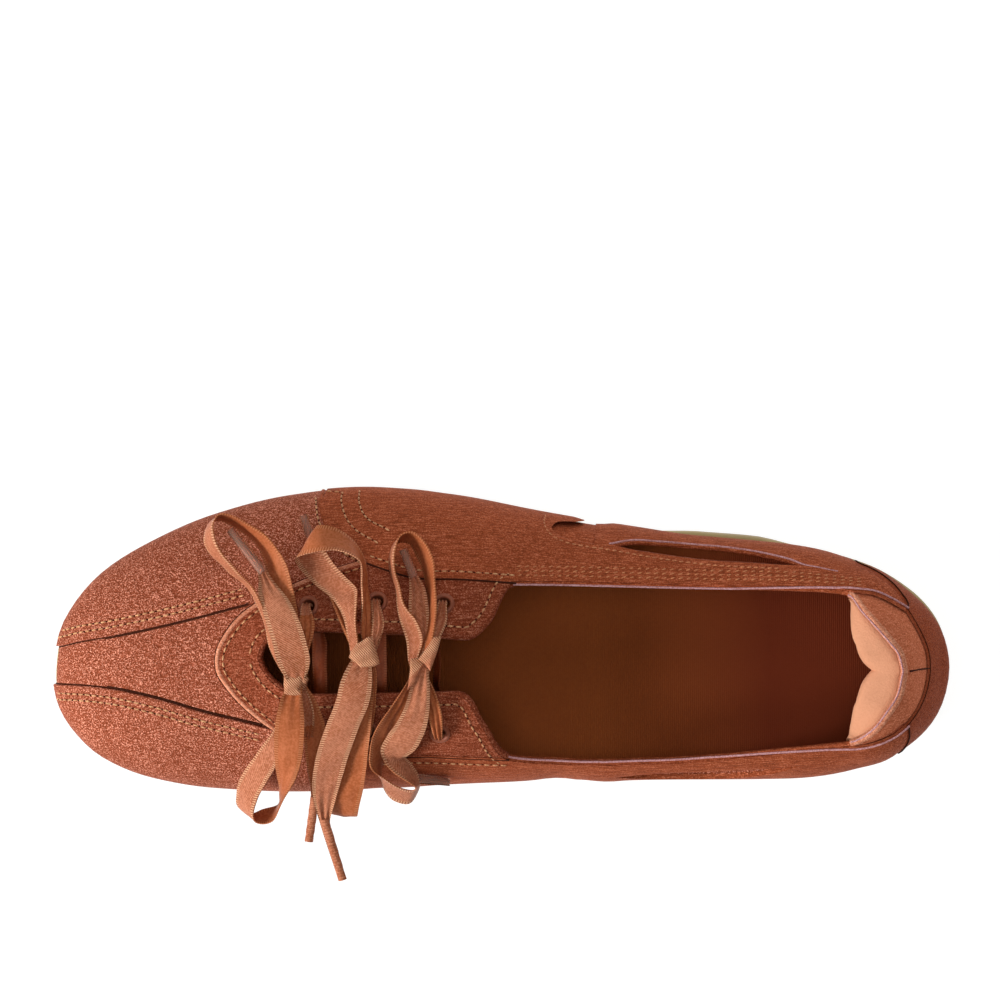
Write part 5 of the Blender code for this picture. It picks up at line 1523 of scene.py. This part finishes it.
def strap_gap_shadow(side, offset):
    """The painted shadow in the gap under a strap: a dark tube, widest at its middle."""
    line = walk(curve(STRAP_TOP[side])[4:], offset)
    radius = 0.1 + 0.75 * np.sin(np.linspace(0.0, math.pi, len(line)))
    return edge_tube(line, TAB_FACE, radius, 0.5)


def make_seams():
    """The rolled edges of the overlays, and the shadows in their seams, each a tube with a lift
    over the last and a radius."""
    rolls, bands, wings, shadows = [], [], [], []
    for side, way in SIDES:
        front, top, toe, stay = QUARTER_FRONT[side], QUARTER_TOP[side], TOE_SEAM[side], EYESTAY[side]
        rolls += [seam(side, front, QUARTER_FACE - 0.6, 0.72),
                  edge_tube(curve(top), QUARTER_FACE - 0.5, 0.6)]
        bands.append(edge_tube(curve(stay), BAND_FACE - 0.45, 0.78))
        wings.append(seam(side, toe, WING_FACE - 0.5, 0.55))
        shadows += [seam(side, toe, 0.05, 0.22, way * -0.6),
                    edge_tube(walk(curve(toe)[15:], way * -0.8), 0.05, 0.34),
                    edge_tube(walk(curve(stay), way * 0.8), WING_FACE - 0.05, 0.14),
                    seam(side, COUNTER[side], QUARTER_FACE - 0.1, 0.2),
                    strap_gap_shadow(side, way * -0.7),
                    seam(side, front, WING_FACE, 0.34, way * 0.85),
                    edge_tube(walk(curve(top), way * -0.75), BAND_FACE, 0.3)]
    low_rim = walk(curve(at_height("lateral", LENS["lateral"][:8])), -0.45)
    rolls.append(edge_tube(low_rim, QUARTER_FACE - 0.75, 0.62))
    # The last two are the painted shadows of the seam down the middle of the heel's tab, and of the dent at
    # its top.
    shadows += [edge_tube(curve(COUNTER_TOP), COUNTER_FACE - 0.02, 0.2),
                edge_tube(((115.6, 0.2), (118.0, 0.3), (121.8, 0.1)), COUNTER_FACE - 0.15, 0.22),
                edge_tube(((115.2, 0.2), (115.6, 0.2), (116.0, 0.2)), 1.05, 0.28)]
    trim("quarter_edges", rolls, "side")
    trim("eyestay_edge", bands, "roll")
    trim("toe_seam_edges", wings, "toe")
    trim("seam_shadows", shadows, "seam")


def make_rims():
    """The edge of the opening, from the middle of one flap's end round the heel to the other's."""
    top, out = GRID[:, -1], NORMALS[:, -1]
    count = len(top)
    inward = unit(top - GRID[:, -2])

    def rim(first, last, lift, radius, over=0.0):
        chosen = [column % count for column in range(first, last + 1)]
        return tube(top[chosen] + out[chosen] * lift + inward[chosen] * over, out[chosen], radius, 10)

    def rim_and_strap(order, side):
        """The overlocked edge of the opening, from a flap, that runs on as the top edge of a strap."""
        share = np.clip((np.arange(len(order)) - len(order) + 12) / 12.0, 0.0, 1.0)[:, None]
        points = top[order] + out[order] * (0.4 + (QUARTER_FACE - 0.3) * share)
        points = points + inward[order] * 0.75 * (1.0 - share)
        further, beyond = on_last(curve(STRAP_TOP[side])[2:], QUARTER_FACE + 0.1)
        return tube(np.concatenate([points, further]), np.concatenate([out[order], beyond]), 0.32, 10)

    flap, other_flap = FLAP_STEPS[0] * FINE, count - FLAP_STEPS[1] * FINE
    strap, other_strap = STRAP_STEP * FINE, count - STRAP_STEP * FINE
    heel, other_heel = HEEL_STEP * FINE, count - HEEL_STEP * FINE
    trim("collar_edge", [rim(flap, heel, 0.15, 0.8), rim(other_heel, other_flap, 0.15, 0.8)], "side")
    trim("tab_edge", [rim(heel, other_heel, 0.0, 1.15)], "roll")
    lens_thread = edge_tube(curve(at_height("lateral", LENS_THREAD)), QUARTER_FACE - 0.15, 0.34)
    trim("collar_overlock", [rim_and_strap(range(flap, strap + 1), "lateral"),
                             rim_and_strap(range(other_flap, other_strap - 1, -1), "medial"),
                             rim(heel, other_heel, 0.45, 0.26, 1.1), lens_thread], "mauve", "thread")
    trim("throat_edge", [rim(other_flap - count, flap, -0.15, 1.2)], "eyestay")


def make_stitches():
    """The rows of stitches, in quiet and in tan thread, with dark beads of painted shade in the dips between
    the tan ones.
    """
    # Three rows of quiet stitches run beside this line under the collar.
    collar = curve(((4.4, 24.9), (28.5, 24.1), (61.4, 23.3), (93.9, 22.7), (103.0, 21.9)))
    quiet = []
    for offset in (1.7, 3.2, 4.7):
        quiet += stitches(walk(collar, offset), QUARTER_FACE + 0.02, 2.3, (0.7, 0.24, 0.22), 0.4)
    quiet += stitches(curve(at_height("lateral", WINDOW_STITCHES)), QUARTER_FACE + 0.05, 1.9,
                      (0.72, 0.26, 0.26), 0.15)
    trim("collar_stitches", quiet, "quiet", "thread")

    # Each row of tan stitches: the line beside it, how far from it, the face it lies on and its pitch.
    rows = [(curve(TOE_SEAM[side])[2:], way * offset, WING_FACE, 2.2)
            for offset in (1.9, 3.7) for side, way in SIDES]
    rows += [(curve(EYESTAY[side]), way * -1.7, BAND_FACE, 2.3) for side, way in SIDES]
    rows += [(edge_at(side, np.linspace(0, flap, 90))[1:], way * 2.4, BAND_FACE, 2.3)
             for (side, way), flap in zip(SIDES, FLAP_STEPS)]
    rows += [(curve(QUARTER_TOP[side]), way * 1.6, QUARTER_FACE, 2.4) for side, way in SIDES]
    rows += [(curve(QUARTER_FRONT[side][2:]), way * -1.6, QUARTER_FACE, 2.3) for side, way in SIDES]
    rows += [(curve(QUARTER_FRONT["lateral"][1:]), offset, QUARTER_FACE, 2.3) for offset in (6.0, 11.0)]
    threads, shadows = [], []
    for line, offset, face, pitch in rows:
        line = walk(line, offset)
        line = line[on_upper(line)]
        threads += stitches(line, face + 0.05, pitch)
        shadows += dips(line, face + 0.02, pitch)
    trim("stitches", threads, "tan", "thread")
    trim("stitch_dips", shadows, "dip", "thread")


def make_eyelets():
    """Six rings with a rounded flange."""
    middle, half = (EYELET_FLANGE + EYELET_HOLE) / 2.0, (EYELET_FLANGE - EYELET_HOLE) / 2.0
    profile = []
    for lean in np.linspace(0.0, math.pi, 9):
        profile.append((middle + half * math.cos(lean), EYELET_HIGH * (0.25 + 0.75 * math.sin(lean))))
    profile += [(EYELET_HOLE, -EYELET_DEEP), (EYELET_BARREL, -EYELET_DEEP), (EYELET_BARREL, 0.0),
                (EYELET_FLANGE, 0.0)]
    turns = 32
    parts = []
    for side, i in EACH_EYELET:
        spot, normal = eyelet(side, i)
        seat = spot + normal * (BAND_FACE + 0.05)
        first = unit(np.cross(normal, (1.0, 0.0, 0.0)))
        second = np.cross(normal, first)
        points = []
        for spin in np.arange(turns) * 2.0 * math.pi / turns:
            out = first * math.cos(spin) + second * math.sin(spin)
            points += [seat + out * radius + normal * high for radius, high in profile]
        parts.append((np.array(points), lattice(turns, len(profile), closed=True)))
    piece = fix_normals(joined("eyelets", parts, "enamel"))
    finished(piece, "eyelet", *("eyelet_%s_%d" % (side, i + 1) for side, i in EACH_EYELET))


def make_heel_pad():
    """The padded lining of the heel: two lobes that meet in a pinch, with fine upright wrinkles."""
    first = HEEL_STEP * FINE
    columns = np.arange(first, len(GRID) - first + 1)
    low = TUCK_ROWS + int(WALL_ROWS * PAD_FOOT)
    carried = GRID[columns, low:] - NORMALS[columns, low:] * (WALL + 0.05)
    away = (columns - SIDE_STEPS * FINE)[:, None] / FINE
    deep = smooth(SIDE_STEPS - np.abs(away), PAD_ROUND["step"], PAD_ROUND["deep"])
    up = np.linspace(0.0, 1.0, carried.shape[1])
    rise = smooth(up, PAD_RISE["up"], PAD_RISE["swell"])
    pinch = 1.0 - PINCH[0] * np.exp(-np.abs(away) / PINCH[1]) * np.clip(rise * 1.4 - 0.2, 0.0, 1.0)
    swell = np.maximum(deep * rise * pinch, PAD_LEAST)

    # The wrinkles lie on the upper part of the lateral lobe.
    upper_face = np.clip((up - 0.62) / 0.15, 0.0, 1.0) * np.clip((1.0 - up) / 0.08, 0.0, 1.0)
    spread = np.exp(-((away - WRINKLED[0]) / WRINKLED[1]) ** 2) * upper_face
    swell -= WRINKLES[0] * np.cos(away * WRINKLES[1]) * spread
    inward = np.array([PAD_CENTRE, 0.0, 0.0]) - carried
    inward[:, :, 2] = 0.0
    pad = skin("heel_pad", carried, carried + unit(inward) * swell[:, :, None], "lining", closed=False)
    finished(pad, "lining", "heel_lining")


# Sole and insole

def sole_ring(half, piece, inset, heights):
    """A ring round the sole: toe, lateral side, heel, medial side."""
    angles = np.linspace(0.0, math.pi, SOLE_FINE_STEPS + 1)
    lateral, medial = [np.column_stack([-half * np.cos(angles), outline_y(piece, side, angles)])
                       for side, _ in SIDES]
    plan = np.concatenate([lateral, medial[-2:0:-1]])
    way = np.roll(plan, -1, axis=0) - np.roll(plan, 1, axis=0)
    normal = unit(np.column_stack([-way[:, 1], way[:, 0]]))
    drawn_in = np.exp(-((plan[:, :1] + SOLE_HALF) / TOE_DRAWN_IN) ** 2) * (piece == "sole")
    inner = plan - normal * (inset + drawn_in)
    angle = turn(plan[:, 0])
    top, bottom = at_turn(SECTIONS, "sole_top", angle), at_turn(SECTIONS, "sole_bottom", angle)
    down, lift = heights
    return np.column_stack([inner, top + (bottom - top) * down + lift])


def ladder(name, rings, look):
    """A solid of rings stacked over one another, its ends closed by rungs from side to side."""
    count = len(rings[0])
    faces = lattice(len(rings), count)
    half = count // 2
    for base in (0, (len(rings) - 1) * count):
        faces.append((base, base + 1, base + count - 1))
        faces.append((base + half, base + half + 1, base + half - 1))
        for i in range(1, half - 1):
            faces.append((base + i, base + i + 1, base + count - i - 1, base + count - i))
    return fix_normals(mesh_piece(name, np.concatenate(rings), faces, look))


def make_sole():
    """The rubber sole with its stepped side and its cross grooves."""
    rings = [sole_ring(SOLE_HALF, "sole", inset, (down, 0.0)) for down, inset in zip(*SOLE_SIDE.values())]
    sole = ladder("sole", rings, "rubber")
    half, end = GROOVE_WIDE / 2, 70.0
    slant = end * math.tan(GROOVE_SKEW)
    grooves = []
    for first, count in (BALL_GROOVES, HEEL_GROOVES):
        for x in first + np.arange(count) * GROOVE_PITCH:
            outline = [(x - half + slant, -end), (x + half + slant, -end),
                       (x + half - slant, end), (x - half - slant, end)]
            grooves.append(prism(outline, -GROOVE_DEEP, GROOVE_DEEP))
    cut(sole, grooves)
    finished(sole, "outsole_rubber", "outsole")


def make_insole():
    """The insole, a little cupped along its edge."""
    inset = float(SECTIONS["tuck"].max()) + WALL + INSOLE_ROOM
    rings = [sole_ring(UPPER_HALF, "upper", inset + further, (0.0, lift))
             for further, lift in zip(*INSOLE_EDGE.values())]
    finished(ladder("insole_sheet", rings, "insole"), "insole_fabric", "insole")


# Surroundings

def make_floor():
    """A white floor."""
    look = Shader("floor_white", 0.9, Emission_Color=(1.0, 1.0, 1.0), Emission_Strength=0.9)
    look.colour((0.22, 0.22, 0.22))
    half = 6.0
    mesh = bpy.data.meshes.new("floor")
    corners = [(-half, -half, 0.0), (half, -half, 0.0), (half, half, 0.0), (-half, half, 0.0)]
    mesh.from_pydata(corners, [], [(0, 1, 2, 3)])
    mesh.materials.append(look.material)
    floor = bpy.data.objects.new("floor", mesh)
    bpy.context.scene.collection.objects.link(floor)


def make_light():
    """Soft light from the toe and the inner side, and a sky that is bright only at the horizon."""
    world = bpy.data.worlds.new("studio")
    world.use_nodes = True
    nodes, links = world.node_tree.nodes, world.node_tree.links
    split = nodes.new("ShaderNodeSeparateXYZ")
    links.new(nodes.new("ShaderNodeTexCoord").outputs["Generated"], split.inputs[0])
    ramp = nodes.new("ShaderNodeValToRGB")
    for element, at, grey in zip(ramp.color_ramp.elements, (0.02, 0.15), (1.0, 0.12)):
        element.position = at
        element.color = (grey, grey, grey, 1.0)
    links.new(split.outputs[2], ramp.inputs["Fac"])
    links.new(ramp.outputs["Color"], nodes["Background"].inputs["Color"])
    bpy.context.scene.world = world
    for name, spot, size, energy in (("key", (-0.93, -0.36, 0.49), 0.42, 14.4),
                                     ("top", (-0.05, 0.08, 1.3), 0.6, 5.2),
                                     ("outer_fill", (0.1, 0.85, 0.7), 0.5, 2.0)):
        data = bpy.data.lights.new(name, "AREA")
        data.size = size
        data.energy = energy
        light = bpy.data.objects.new(name, data)
        light.location = spot
        light.rotation_euler = (-Vector(spot)).to_track_quat("-Z", "Y").to_euler()
        bpy.context.scene.collection.objects.link(light)
    bpy.context.scene.view_settings.view_transform = "Standard"


random.seed(7)
make_camera()
make_bows()
make_bars()
make_shell()
make_panels()
make_seams()
make_rims()
make_stitches()
make_eyelets()
make_heel_pad()
make_sole()
make_insole()
make_floor()
make_light()
